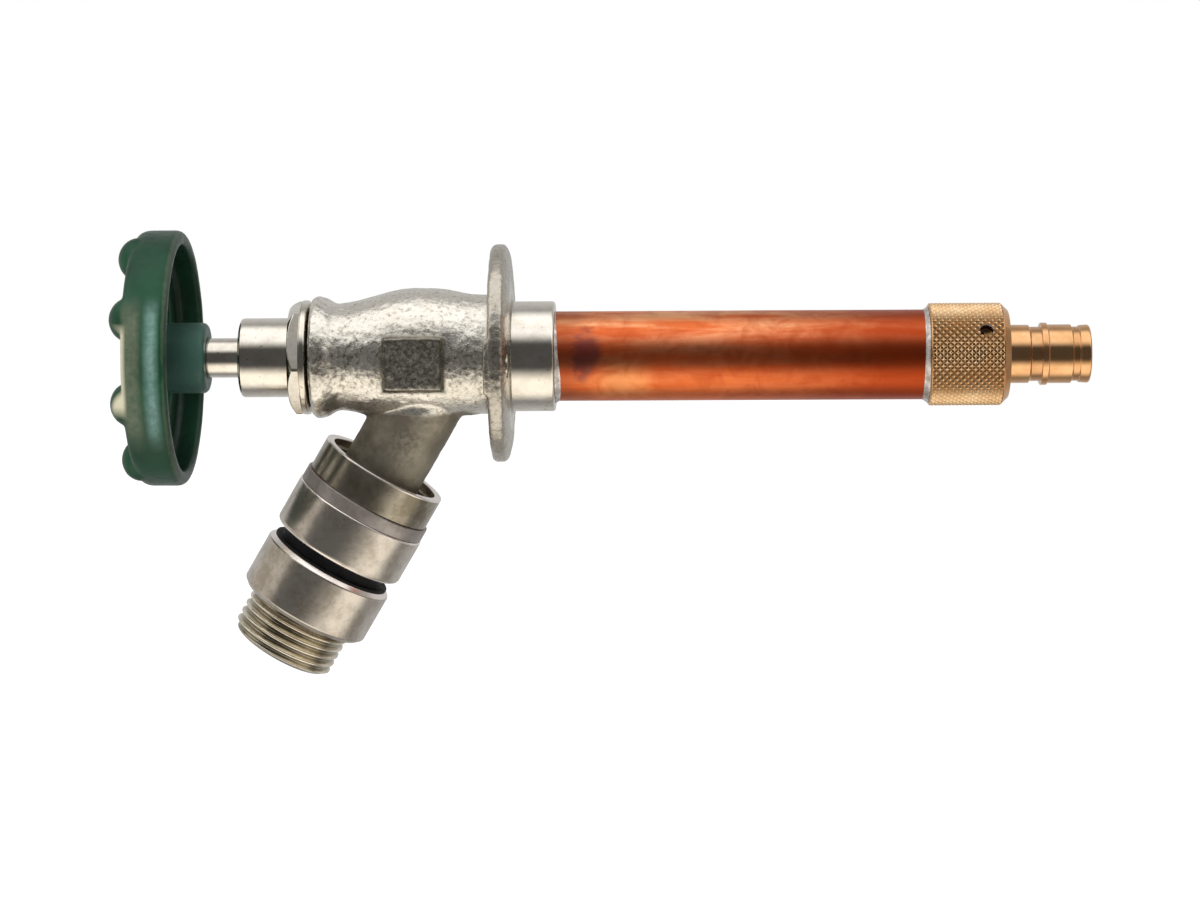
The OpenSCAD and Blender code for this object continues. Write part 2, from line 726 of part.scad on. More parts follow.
// Washer holder with guide wings; the rod's end turns freely in its bore
module plunger() {
  head_d = washer_d + 2;
  wing_t = 1.6;
  wing_r = tube_bore_r - 0.25;
  hub_d1 = 11;
  color(brass) difference() {
    union() {
      on_axis() turned_rod(hub_d1, plunger_x, plunger_head_x + 0.5, 0.5, 0);
      on_axis() turned_rod(head_d, plunger_head_x, washer_x + cup_depth, 1, 0);
      intersection() {
        for (i = [0:wing_count - 1]) on_axis(plunger_x + 2) rotate(45 + i * 360 / wing_count)
          translate([0, -wing_t / 2, 0]) cube([wing_r + 1, wing_t, plunger_hub_l - 0.4]);
        on_axis() turned_rod(2 * wing_r, plunger_x, washer_x, 4, 0);
      }
    }
    on_axis(plunger_x - 1) cylinder(d = spigot_d + 2 * run_gap, h = spigot_l + 1.6);
    on_axis(washer_x - seat_gap) cylinder(d = washer_d + 2 * seat_gap, h = washer_t + 1);
    on_axis() turned_ring(spigot_d + 2 * clip_reach, spigot_d - 1, clip_x - 0.05, clip_x + clip_t + 0.15);
    on_axis(washer_x - plunger_screw_l - 1)
      cylinder(d = plunger_screw_d + 2 * seat_gap, h = plunger_screw_l + 2);
  }
}

module plunger_clip() {
  color(steel) on_axis() turned_ring(spigot_d + 2 * clip_reach - 0.1, spigot_d - 1.6 + 2 * run_gap,
    clip_x + 0.03, clip_x + clip_t - 0.02);
}

module seat_washer() {
  bore = plunger_screw_d + 2 * seat_gap;
  color(rubber) on_axis() turned_ring(washer_d, bore, washer_x, washer_end_x, 0.2, 0.2);
}

module washer_screw() {
  head_d = 6.6;
  head_h = 1.6;
  color(brass) difference() {
    union() {
      on_axis() turned_rod(plunger_screw_d, washer_x - plunger_screw_l, washer_end_x + 0.5, 0.4, 0);
      on_axis(washer_end_x + seat_gap) turned_rod(head_d, 0, head_h, 0, 0.5);
    }
    translate([washer_end_x + seat_gap + head_h, 0, 0]) cube([1.6, 1, head_d + 1], center = true);
  }
}

module spout_gasket() {
  color(rubber) on_spout() turned_ring(spout_thread_d - 0.6, spout_bore + 0.4,
    spout_l + seat_gap, spout_l + seat_gap + spout_gasket_t);
}

// Top ring, threaded cup, web with the check seat, and the skirt that guides the drain sleeve
module breaker_body() {
  bore = spout_thread_d + 2 * seat_gap;
  color(nickel) difference() {
    union() {
      on_spout() turned_rod(cup_d, breaker_d0, band_d0, 0.6, 0.4);
      on_spout() turned_rod(core_d, band_d0 - 1, breaker_web_d1, 0, 0.4);
      on_spout() turned_rod(skirt_d, breaker_web_d1 - 1, skirt_d1, 0, 0.6);
    }
    on_spout(breaker_d0 - 1) cylinder(d = cup_d - 2 * cup_wall, h = spout_thread_d0 - breaker_d0 + 0.7);
    on_spout(breaker_d0 - 1) cylinder(d = bore, h = breaker_web_d0 - breaker_d0 + 1);
    on_spout(breaker_web_d0 - 1) cylinder(d = breaker_port_d, h = breaker_web_t + 2);
    on_spout(breaker_web_d1) cylinder(d = skirt_bore, h = skirt_d1 - breaker_web_d1 + 1);
    on_spout(sleeve_ring_d0) turned_ring(skirt_d + 2, skirt_d - 2 * sleeve_ring_t - 0.2, 0, sleeve_groove_w);
    on_spout(lock_screw_d0) rotate([-90, 0, 0]) cylinder(d = lock_screw_d + 2 * seat_gap, h = cup_d / 2 + 1);
  }
}

// Set screw whose head is sheared off, just under the ring's surface
module lock_screw() {
  inner = spout_thread_d / 2 + 3 * seat_gap;
  color(steel) on_spout(lock_screw_d0) rotate([-90, 0, 0])
    translate([0, 0, inner]) cylinder(d = lock_screw_d, h = cup_d / 2 - 0.3 - inner);
}

module breaker_band() {
  bore = core_d + 2 * seat_gap;
  color(nickel) on_spout() turned_ring(band_d, bore, band_d0 + seat_gap, shell_d0 - seat_gap, 0.3, 0.3);
}

// Lower shell with a rounded foot and an inward lip that holds the sleeve
module breaker_shell() {
  r = shell_d / 2;
  foot = 1.2;
  core_r = core_d / 2 + seat_gap;
  step = breaker_web_d1;
  color(nickel) on_spout() rotate_extrude() polygon(concat(
    [[core_r, shell_d0], [r - 0.5, shell_d0], [r, shell_d0 + 0.5]],
    arc(r - foot, shell_d1 - foot, foot, foot, 0, 90, 5),
    [[shell_lip_r, shell_d1], [shell_lip_r, lip_d0], [shell_bore_r, lip_d0], [shell_bore_r, step],
      [core_r, step]]
  ));
}

module poppet_seal() {
  color(rubber) on_spout() turned_rod(poppet_d, poppet_seal_d0, poppet_seal_d0 + poppet_seal_t, 0.2, 0.2);
}

// Poppet with a shoulder on its stem, which stops on the guide after the poppet's travel
module check_poppet() {
  shoulder_d = 6;
  color(plastic) {
    on_spout() turned_rod(poppet_d, poppet_d0, poppet_d0 + poppet_t, 0.2, 0.4);
    on_spout() turned_rod(shoulder_d, poppet_d0 + poppet_t - 0.5, poppet_stop_d, 0, 0.3);
    on_spout() turned_rod(poppet_stem_d, poppet_stop_d - 0.5, poppet_end_d, 0, 0.5);
  }
}

// Three-legged guide pressed into the skirt's end
module poppet_guide() {
  leg_w = 2;
  rim_d = skirt_bore - 2 * seat_gap;
  color(plastic) on_spout(guide_d0) difference() {
    union() {
      turned_ring(rim_d, rim_d - 2.4, 0, guide_t, 0.2, 0.2);
      cylinder(d = 6, h = guide_t);
      for (i = [0:2]) rotate(i * 120) translate([0, -leg_w / 2, 0])
        cube([rim_d / 2 - 0.6, leg_w, guide_t - 0.4]);
    }
    translate([0, 0, -1]) cylinder(d = poppet_stem_d + 2 * run_gap, h = guide_t + 2);
  }
}

// Coil spring of round wire between two stations, with closed end turns
module coil_spring(mean_r, wire_d, z0, z1, turns) {
  sides = 6;
  per_turn = 12;
  steps = turns * per_turn;
  flat_turns = 0.8;
  rise = z1 - z0 - wire_d;
  end_rise = (wire_d + 0.4) * flat_turns;
  function height(t) = t < flat_turns ? end_rise * t / flat_turns
    : t > turns - flat_turns ? rise - end_rise * (turns - t) / flat_turns
    : end_rise + (rise - 2 * end_rise) * (t - flat_turns) / (turns - 2 * flat_turns);
  points = [for (i = [0:steps], k = [0:sides - 1])
    let (a = 360 * i / per_turn, b = 360 * k / sides, r = mean_r + wire_d / 2 * cos(b))
    [r * cos(a), r * sin(a), z0 + wire_d / 2 + height(i / per_turn) + wire_d / 2 * sin(b)]];
  walls = [for (i = [0:steps - 1], k = [0:sides - 1], half = [0, 1])
    let (n = (k + 1) % sides, low = i * sides, high = low + sides)
    half == 0 ? [low + k, high + n, high + k] : [low + k, low + n, high + n]];
  ends = [[for (k = [sides - 1:-1:0]) k], [for (k = [0:sides - 1]) steps * sides + k]];
  polyhedron(points, concat(walls, ends));
}

module poppet_spring() {
  mean_r = 4.4;
  wire = 0.8;
  color(steel) on_spout() coil_spring(mean_r, wire,
    poppet_d0 + poppet_t + spring_seat_gap, guide_d0 - spring_seat_gap, 4);
}

module drain_spring() {
  wire = 1.1;
  mean_r = (skirt_d / 2 + counterbore_r) / 2;
  color(steel) on_spout() coil_spring(mean_r, wire,
    breaker_web_d1 + spring_seat_gap, counterbore_d1 - spring_seat_gap, 4);
}

module sleeve_o_ring() {
  mean_r = (skirt_d - sleeve_ring_t) / 2 - 0.03;
  color(rubber) on_spout(sleeve_ring_d0 + sleeve_groove_w / 2) rotate_extrude()
    translate([mean_r, 0]) circle(d = sleeve_ring_t, $fn = 24);
}

// Lower ring, hose thread and the neck that slides in the shell, in one turned piece
module hose_nipple() {
  r = ring_d / 2;
  bevel = 1.1;
  thread_r = hose_thread_d / 2;
  relief_r = thread_r - 1.2;
  relief = 1.6;
  groove_r = neck_r - 0.45;
  guide_r = skirt_d / 2 + run_gap;
  color(nickel) on_spout() rotate_extrude() polygon([
    [counterbore_r, sleeve_top_d], [neck_r, sleeve_top_d], [neck_r, sleeve_clip_d0 - seat_gap],
    [groove_r, sleeve_clip_d0 - seat_gap], [groove_r, sleeve_clip_d0 + sleeve_clip_t + seat_gap],
    [neck_r, sleeve_clip_d0 + sleeve_clip_t + seat_gap], [neck_r, ring_d0], [r - bevel, ring_d0],
    [r, ring_d0 + bevel], [r, ring_d1 - bevel], [r - bevel, ring_d1], [relief_r, ring_d1],
    [relief_r, ring_d1 + relief - 0.8], [thread_r, ring_d1 + relief], [thread_r, nipple_d1 - 0.9],
    [thread_r - 0.9, nipple_d1], [hose_bore / 2 + 0.6, nipple_d1], [hose_bore / 2, nipple_d1 - 0.6],
    [hose_bore / 2, sleeve_step_d + 1.6], [guide_r, sleeve_step_d], [guide_r, counterbore_d1],
    [counterbore_r, counterbore_d1]
  ]);
}

// Split ring on the neck, above the shell's lip
module retaining_clip() {
  color(steel) on_spout(sleeve_clip_d0) difference() {
    turned_ring(2 * sleeve_clip_r, 2 * (neck_r - 0.4), 0, sleeve_clip_t, 0.2, 0.2);
    translate([neck_r - 2, -2, -1]) cube([5, 4, sleeve_clip_t + 2]);
  }
}

// Black boot round the neck, seen in the gap
module drain_boot() {
  top = sleeve_clip_d0 + sleeve_clip_t + 0.5;
  washer_top = ring_d0 - seat_gap - boot_washer_t;
  bore = neck_r + seat_gap;
  color(rubber) on_spout() rotate_extrude() polygon([[bore, top], [boot_r, top], [boot_r, washer_top],
    [boot_washer_r, washer_top], [boot_washer_r, ring_d0 - seat_gap], [bore, ring_d0 - seat_gap]]);
}

handwheel();
handle_screw();
handle_washer();
stem();
stem_rod();
rod_pin();
bonnet();
bonnet_gasket();
stem_o_rings();
valve_body();
copper_tube();
front_solder_ring();
rear_solder_ring();
inlet_fitting();
plunger();
plunger_clip();
seat_washer();
washer_screw();
spout_gasket();
breaker_body();
lock_screw();
breaker_band();
breaker_shell();
check_poppet();
poppet_seal();
poppet_guide();
poppet_spring();
sleeve_o_ring();
drain_spring();
hose_nipple();
retaining_clip();
drain_boot();
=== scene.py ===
# Frost free sillcock: the looks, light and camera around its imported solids.
# Sizes are in millimetres up to the moment a mesh is made, and in metres in the scene.
import math

import bmesh
import bpy
import numpy as np
from mathutils import Matrix, Vector, noise


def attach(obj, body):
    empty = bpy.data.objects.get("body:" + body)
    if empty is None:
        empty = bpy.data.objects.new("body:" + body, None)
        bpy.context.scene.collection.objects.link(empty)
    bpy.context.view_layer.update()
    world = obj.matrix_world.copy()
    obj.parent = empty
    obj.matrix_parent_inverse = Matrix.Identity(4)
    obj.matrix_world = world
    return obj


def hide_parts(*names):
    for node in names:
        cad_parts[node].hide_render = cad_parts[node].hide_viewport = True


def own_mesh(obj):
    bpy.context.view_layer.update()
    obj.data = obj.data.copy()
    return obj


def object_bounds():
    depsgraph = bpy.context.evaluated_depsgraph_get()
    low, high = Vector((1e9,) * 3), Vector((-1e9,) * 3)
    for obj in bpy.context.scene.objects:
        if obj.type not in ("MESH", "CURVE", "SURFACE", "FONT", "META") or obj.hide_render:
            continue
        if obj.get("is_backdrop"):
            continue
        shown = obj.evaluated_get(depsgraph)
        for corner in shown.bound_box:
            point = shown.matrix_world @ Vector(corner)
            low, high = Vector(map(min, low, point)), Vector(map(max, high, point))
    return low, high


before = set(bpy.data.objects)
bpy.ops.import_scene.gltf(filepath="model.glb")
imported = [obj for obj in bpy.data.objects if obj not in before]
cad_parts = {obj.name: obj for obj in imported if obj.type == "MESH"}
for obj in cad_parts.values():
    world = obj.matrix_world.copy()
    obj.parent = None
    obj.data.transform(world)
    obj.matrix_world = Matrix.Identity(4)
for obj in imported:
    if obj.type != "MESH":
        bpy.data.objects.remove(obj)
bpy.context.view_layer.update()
scene = bpy.context.scene
MM = 0.001
SEGMENTS = 128
GAP = 0.04

# Placings that turn a piece's own Z to the barrel's axis, and to the spout's, which leans from straight down
SPOUT_TILT = math.radians(30.5)
SPOUT_X = -15.7
OUT = Vector((-math.sin(SPOUT_TILT), 0, -math.cos(SPOUT_TILT)))
BARREL = Matrix(((0, 0, 1, 0), (0, 1, 0, 0), (-1, 0, 0, 0), (0, 0, 0, 1)))
SPOUT = Matrix((
    (-math.cos(SPOUT_TILT), 0, OUT.x, SPOUT_X), (0, 1, 0, 0), (math.sin(SPOUT_TILT), 0, OUT.z, 0), (0, 0, 0, 1)))


# Camera
def look_from(aim, distance, elevation, azimuth, roll):
    """Matrix of a camera that looks at aim from that side, in degrees; azimuth 0 looks along +Y."""
    a, e = math.radians(azimuth), math.radians(elevation)
    place = aim + distance * Vector((math.sin(a) * math.cos(e), -math.cos(a) * math.cos(e), math.sin(e)))
    turn = (aim - place).to_track_quat("-Z", "Y").to_matrix().to_4x4()
    return Matrix.Translation(place) @ turn @ Matrix.Rotation(math.radians(roll), 4, "Z")


camera = bpy.data.objects.new("camera", bpy.data.cameras.new("camera"))
scene.collection.objects.link(camera)
scene.camera = camera
camera.data.sensor_width = 36
camera.data.lens = 88.8
camera.data.clip_start = 0.01
camera.matrix_world = look_from(
    Vector((0.02174, 0, -0.02356)), distance=0.738, elevation=8, azimuth=1.3, roll=-0.43)
scene.view_settings.view_transform = "Standard"


# Nodes and colours
NOISE, CELLS, RANGE = "ShaderNodeTexNoise", "ShaderNodeTexVoronoi", "ShaderNodeMapRange"
MATH, VECTOR, MIX = "ShaderNodeMath", "ShaderNodeVectorMath", "ShaderNodeMix"
APART, TOGETHER, POSITION = "ShaderNodeSeparateXYZ", "ShaderNodeCombineXYZ", "GeometryNodeInputPosition"
PLUS, MINUS, TIMES, OVER, TIMES_PLUS, LOWEST, HIGHEST, ABSOLUTE, SINE, COSINE = ((MATH, name) for name in (
    "ADD", "SUBTRACT", "MULTIPLY", "DIVIDE", "MULTIPLY_ADD", "MINIMUM", "MAXIMUM", "ABSOLUTE", "SINE", "COSINE"))
SMOOTH = {"interpolation_type": "SMOOTHSTEP"}


def srgb(text):
    """Linear colour of an sRGB hex value."""
    parts = [int(text[i:i + 2], 16) / 255 for i in (1, 3, 5)]
    return (*[c / 12.92 if c <= 0.04045 else ((c + 0.055) / 1.055) ** 2.4 for c in parts], 1)


def per_mm(size):
    """Texture scale for a feature of that many millimetres."""
    return 1 / (size * MM)


def feed(tree, socket, value):
    """Links a socket, or each of a list of them, or sets a value; a hex colour is made linear."""
    for item in value if isinstance(value, list) else [value]:
        if isinstance(item, bpy.types.NodeSocket):
            tree.links.new(item, socket)
        else:
            socket.default_value = srgb(item) if isinstance(item, str) else item


def add(tree, kind, *values, out=0, **settings):
    """Adds a node with its settings and links, and returns one of its outputs, or all of them for out=None.

    The kind is a node, or a node and its operation. The values fill its inputs in order. A setting is a property
    of the node, or else the input of that name."""
    if isinstance(kind, tuple):
        kind, settings["operation"] = kind
    made = tree.nodes.new(kind)
    inputs = {}
    for key, value in settings.items():
        if hasattr(made, key):
            setattr(made, key, value)
        else:
            inputs[key] = value
    for socket, value in zip([socket for socket in made.inputs if socket.enabled], values):
        feed(tree, socket, value)
    for key, value in inputs.items():
        feed(tree, made.inputs[key.replace("_", " ")], value)
    return made.outputs if out is None else made.outputs[out] if isinstance(out, str) else \
        [socket for socket in made.outputs if socket.enabled][out]


def new_material(name, **constants):
    """A material with one Principled shader, whose constants are set on its own sockets."""
    material = bpy.data.materials.new(name)
    material.use_nodes = True
    tree = material.node_tree
    shader = tree.nodes["Principled BSDF"]
    for key, value in constants.items():
        feed(tree, shader.inputs[key.replace("_", " ")], value)
    return material, tree, shader, add(tree, "ShaderNodeTexCoord", out="Object")


def dress(tree, shader, colour, roughness, reliefs):
    """Joins colour, roughness and reliefs, each (height, depth in millimetres, strength), to the shader."""
    feed(tree, shader.inputs["Base Color"], colour)
    feed(tree, shader.inputs["Roughness"], roughness)
    normal = add(tree, "ShaderNodeNewGeometry", out="Normal")
    for height, depth, strength in reliefs:
        normal = add(tree, "ShaderNodeBump", Height=height, Distance=depth * MM, Strength=strength, Normal=normal)
    feed(tree, shader.inputs["Normal"], normal)


def polar(tree, place, axis, origin=(0, 0, 0)):
    """Station along an axis and distance from it, in metres."""
    local = add(tree, VECTOR, place, origin, operation="SUBTRACT")
    station = add(tree, VECTOR, local, axis, operation="DOT_PRODUCT")
    across = add(tree, VECTOR, local, axis, operation="CROSS_PRODUCT")
    return station, add(tree, VECTOR, across, operation="LENGTH", out="Value")


def curve(tree, value, points):
    """Broken line through (value, result) points, as a sum of its legs."""
    result = points[0][1]
    for (start, low), (end, high) in zip(points, points[1:]):
        result = add(tree, PLUS, result, add(tree, RANGE, value, start, end, 0, high - low))
    return result


def layered(tree, colour, *coats):
    """A colour with others laid over it, each (tone, shares...) as strongly as the product of its shares.

    A share is a number, a socket, or a ramp (value, start, end), from 0 to 1 or to two levels that follow."""
    for tone, *shares in coats:
        share, *others = [add(tree, RANGE, *item) if isinstance(item, tuple) else item for item in shares]
        for other in others:
            share = add(tree, TIMES, share, other)
        colour = add(tree, MIX, share, colour, tone, data_type="RGBA")
    return colour


# Materials
AXIS_X = (1, 0, 0)
AXIS_OUT = tuple(OUT)
SPOUT_ORIGIN = (SPOUT_X * MM, 0, 0)
PAD_X, PAD_WIDE, PAD_Z, PAD_TALL = -23.5, 14.2, -0.3, 13.06
SIGHT_X, SIGHT_D = 116.5, 3.4
SIGHT_TILT = math.radians(34)
SIGHT_WAY = Vector((0, -math.cos(SIGHT_TILT), math.sin(SIGHT_TILT)))

# Where painted shade, painted reflections and highlights, tones and wear lie, in metres: the two ends of a ramp, or
# points of place and strength
GLINT_RAMP = 0.0001
# Painted dark reflection across the body's front, by height
BODY_DARK_REFLECTION = ((-0.0085, 0), (-0.003, 0.6), (0.004, 0.6), (0.0105, 0))
PAD_EDGE_SHADE = ((-0.0009, 0), (-0.0003, 0.75), (0.0004, 0.75), (0.0012, 0))
FLANGE_RADII, ROOT_RADII, ROOT_HEIGHTS = (0.0175, 0.019), (0.0145, 0.0125), (-0.0108, -0.0124)
# Painted glint on the spout root, round this point
ROOT_GLINT = (-0.0245, -0.013, -0.0225)
HUB_RADII, RIM_RADII, RIM_REAR = (0.016, 0.013), (0.029, 0.0305), (-0.0828, -0.082)
RIM_FRONT = ((-0.0945, 1.0), (-0.0917, 1.0), (-0.0907, 0.0))
BETWEEN_BUMPS = ((0.0, 0.9), (0.0085, 0.9), (0.0115, 0.0))
GREY_SHEEN = ((-0.0925, 0.0), (-0.091, 1.0), (-0.0885, 1.0), (-0.0865, 0.0))
BLUE_SHEEN = ((-0.087, 0.0), (-0.085, 1.0), (-0.0842, 1.0), (-0.0825, 0.0))
TUBE_LOWER, TUBE_FRONT, TUBE_FAR, TUBE_HEATED = (0.005, -0.004), (0.0092, 0.0111), (0.05, 0.092), (0.021, 0.014)
# Oval patches on the tube: tone, strength, place, stretch, unevenness and the two ends of the edge
TUBE_PATCHES = (("#6b3a48", 0.65, (-0.0313, 0.0055, -0.0017), (1.7, 0.5, 1.1), 0.012, (0.0142, 0.0096)),
                ("#ffb878", 0.5, (-0.0243, 0.005, 0.0064), (0.9, 0.5, 1.2), 0.01, (0.0135, 0.007)))


def turned_nickel(name, axis, base, tint, film, film_share, rough, pitch=0.35, pits=0.5, metal=1.0, edges=(),
                  valley=None):
    """Bright nickel plate over turned brass: mirror-like with faint rings, a brownish film and a few small pits.

    Edges are (start, end) stations in metres that get a painted highlight band; painted shade lies low in a valley
    of the thread, from one radius in to another."""
    material, tree, shader, place = new_material(name, Metallic=metal)
    station, _ = polar(tree, place, axis)
    stains = add(tree, NOISE, place, per_mm(7), 4, 0.6)
    fine = add(tree, NOISE, place, per_mm(1.4), 3, 0.6)
    specks = add(tree, RANGE, add(tree, NOISE, place, per_mm(1.1), 2), 0.68, 0.75, **SMOOTH)
    rings = add(tree, NOISE, station, per_mm(pitch), 2.0, noise_dimensions="1D")
    colour = layered(tree, base, (tint, (stains, 0.4, 0.64)),
                     (film, (add(tree, PLUS, stains, fine), 0.95, 1.2), film_share))
    if valley:
        _, radius = polar(tree, place, axis, SPOUT_ORIGIN)
        # painted shade low in the thread's valleys
        colour = layered(tree, colour, ("#50462f", (radius, *valley), 0.6))
    for start, end in edges:
        # painted highlight band at each given edge
        painted_glint = ((start, 0), (start + GLINT_RAMP, 0.9), (end - GLINT_RAMP, 0.9), (end, 0))
        colour = layered(tree, colour, ("#fff6f0", curve(tree, station, painted_glint)))
    colour = layered(tree, colour, ("#3c362e", specks, pits))
    dress(tree, shader, colour, add(tree, RANGE, stains, 0.3, 0.7, rough, rough + 0.1), [
        (rings, 0.02, 0.3), (add(tree, NOISE, place, per_mm(2.6), 2), 0.06, 0.25), (specks, 0.05, -0.5)])
    return material


def make_cast_nickel():
    """Nickel plate on a rough sand casting: warm grey, grained at 1 mm, with painted shade in its hollows and round
    the pad's edge, a painted dark reflection across its front, darker and mottled inside the pad, and a duller spout
    root with a painted glint."""
    material, tree, shader, place = new_material("cast_nickel", Metallic=0.93)
    grains = add(tree, NOISE, place, per_mm(1.1), 5, 0.62)
    sand = add(tree, NOISE, place, per_mm(0.4), 2)
    patches = add(tree, NOISE, place, per_mm(8), 3)
    edge = add(tree, "ShaderNodeAttribute", attribute_name="edge", out="Fac")
    cells = add(tree, CELLS, place, per_mm(1.5), feature="SMOOTH_F1", out="Distance")
    pit = add(tree, TIMES, add(tree, RANGE, cells, 0.30, 0.12, **SMOOTH), add(tree, RANGE, patches, 0.45, 0.6))
    x, y, z = add(tree, APART, place, out=None)
    _, radius = polar(tree, place, AXIS_X)
    _, off_spout = polar(tree, place, AXIS_OUT, SPOUT_ORIGIN)
    sides = []
    for value, middle, half in ((x, PAD_X, PAD_WIDE / 2), (z, PAD_Z, PAD_TALL / 2)):
        away = add(tree, ABSOLUTE, add(tree, MINUS, value, middle * MM))
        sides.append(add(tree, MINUS, away, half * MM))
    off_pad = add(tree, HIGHEST, *sides)
    colour = layered(
        tree, "#e6e0d4", ("#f0ebe1", (patches, 0.35, 0.65)),
        ("#a39a88", (grains, 0.54, 0.7)),
        ("#e8e2d6", (edge, 0.15, 0.5)),
        # painted shade in the hollows
        ("#7b7364", (edge, -0.1, -0.5)),
        ("#6b6354", pit, 0.35),
        ("#a29a8c", (radius, *FLANGE_RADII), 0.6),
        # painted dark reflection across the front's middle, mottled by the grain
        ("#6f6858", curve(tree, z, BODY_DARK_REFLECTION), (y, -0.008, -0.012),
         (grains, 0.42, 0.62)),
        # painted shade round the raised pad's edge on the front
        ("#5d5648", curve(tree, off_pad, PAD_EDGE_SHADE), (y, -0.011, -0.013)),
        ("#7a7263", (off_pad, 0.0, -0.0008), (y, -0.012, -0.014),
         (grains, 0.35, 0.6, 0.15, 0.8)))
    below = add(tree, RANGE, add(tree, TIMES_PLUS, patches, 0.003, z), *ROOT_HEIGHTS, **SMOOTH)
    below = add(tree, TIMES, below, add(tree, RANGE, off_spout, *ROOT_RADII))
    away = add(tree, VECTOR, place, ROOT_GLINT, operation="DISTANCE", out="Value")
    dull = layered(tree, "#878072", ("#a59d8c", (patches, 0.4, 0.6)),
                   # painted glint on the grains of the spout root
                   ("#ddd6c6", (away, 0.009, 0.004), (grains, 0.4, 0.65), 0.5))
    rough = add(tree, TIMES_PLUS, below, 0.36, add(tree, RANGE, grains, 0.3, 0.7, 0.18, 0.3))
    dress(tree, shader, layered(tree, colour, (dull, below, 0.9)), rough, [
        (add(tree, NOISE, place, per_mm(3.2), 2), 0.3, 0.3), (grains, 0.22, 0.6), (pit, 0.15, -0.4),
        (sand, 0.05, 0.35)])
    return material


def make_enamel():
    """Gloss enamel stoved on a die casting: deep green, with painted grey and bluish sheen on the rim's middle and
    on the hub, painted shade in its hollows, and rubbed to pale primer on its edges, brightened on the front edge as
    a painted highlight.
    """
    material, tree, shader, place = new_material("green_enamel", Specular_IOR_Level=0.25, Coat_Weight=0.08,
                                                 Coat_Roughness=0.2)
    patches = add(tree, NOISE, place, per_mm(11), 4, 0.6)
    fine = add(tree, NOISE, place, per_mm(1.6), 4, 0.65)
    edge = add(tree, "ShaderNodeAttribute", attribute_name="edge", out="Fac")
    station, radius = polar(tree, place, AXIS_X)
    height = add(tree, ABSOLUTE, add(tree, APART, place, out="Z"))
    outside = add(tree, RANGE, radius, *RIM_RADII)
    middle = add(tree, RANGE, add(tree, TIMES_PLUS, patches, 0.012, height), 0.026, 0.018, **SMOOTH)
    # painted grey and bluish sheen bands on the rim's outside at middle height
    sheen_mask = middle, outside, (fine, 0.35, 0.65, 0.6, 1.0)
    colour = layered(
        tree, "#103824", ("#184a31", (patches, 0.35, 0.65)),
        # painted bluish sheen on the hub
        ("#4a6e64", (radius, *HUB_RADII), 0.8),
        ("#8d8c78", curve(tree, station, GREY_SHEEN), *sheen_mask, 0.45),
        ("#8fb3aa", curve(tree, station, BLUE_SHEEN), *sheen_mask, 0.65),
        ("#ded6b8", (edge, 0.15, 0.27), (fine, 0.3, 0.5, 0.6, 1.0), 0.55,
         (station, *RIM_REAR), outside),
        # pale primer worn on the front edge between the bumps, brightened as a painted highlight
        ("#ded6b8", curve(tree, station, RIM_FRONT), curve(tree, height, BETWEEN_BUMPS), outside),
        # painted shade in the hollows
        ("#0d2418", (edge, -0.05, -0.3)))
    dress(tree, shader, colour, add(tree, RANGE, fine, 0.3, 0.7, 0.32, 0.48), [
        (add(tree, NOISE, place, per_mm(4.5), 2), 0.25, 0.25),
        (add(tree, NOISE, place, per_mm(0.7), 2), 0.03, 0.3)])
    return material


def make_copper():
    """Drawn copper tube, handled and soldered: orange with red-brown bloom, dark heat colours by the collar, painted
    shade on its lower half and a painted dark reflection tint where it faces ahead.
    """
    material, tree, shader, place = new_material("drawn_copper", Metallic=1.0)
    drawn_way = add(tree, "ShaderNodeMapping", Vector=place, Scale=(0.12, 1, 1))
    bloom = add(tree, NOISE, drawn_way, per_mm(3.6), 4, 0.55)
    fingers = add(tree, NOISE, place, per_mm(6), 4, 0.62, Distortion=0.6)
    across = add(tree, VECTOR, place, (0, 1, 1), operation="MULTIPLY")
    facing = add(tree, VECTOR, across, (0, -0.98, 0.17), operation="DOT_PRODUCT")
    front = add(tree, PLUS, facing, add(tree, TIMES, fingers, 0.0008))
    station, _ = polar(tree, place, AXIS_X)
    along = add(tree, PLUS, station, add(tree, TIMES, add(tree, MINUS, fingers, 0.5), 0.02))
    colour = layered(
        tree, "#ffb884", ("#e27440", (bloom, 0.4, 0.6)),
        # painted shade on the lower half
        ("#e06c34", (add(tree, APART, place, out="Z"), *TUBE_LOWER), 0.8),
        # painted dark reflection tint where the tube faces ahead
        ("#dc5c34", add(tree, RANGE, front, *TUBE_FRONT, **SMOOTH), 0.5),
        ("#bc4f26", (fingers, 0.46, 0.7), 0.5),
        ("#ab401c", (along, *TUBE_FAR), 0.85),
        ("#7a3a2c", add(tree, RANGE, along, *TUBE_HEATED, **SMOOTH), 0.4))
    for tone, strength, middle, stretch, uneven, ends in TUBE_PATCHES:
        oval = add(tree, "ShaderNodeMapping", Vector=place, Location=middle, Scale=stretch)
        away = add(tree, TIMES_PLUS, fingers, uneven, add(tree, VECTOR, oval, operation="LENGTH", out="Value"))
        colour = layered(tree, colour, (tone, add(tree, RANGE, away, *ends, **SMOOTH), strength))
    dress(tree, shader, colour, add(tree, RANGE, bloom, 0.3, 0.7, 0.32, 0.44), [
        (bloom, 0.04, 0.25), (add(tree, NOISE, place, per_mm(8), 2), 0.2, 0.25)])
    return material


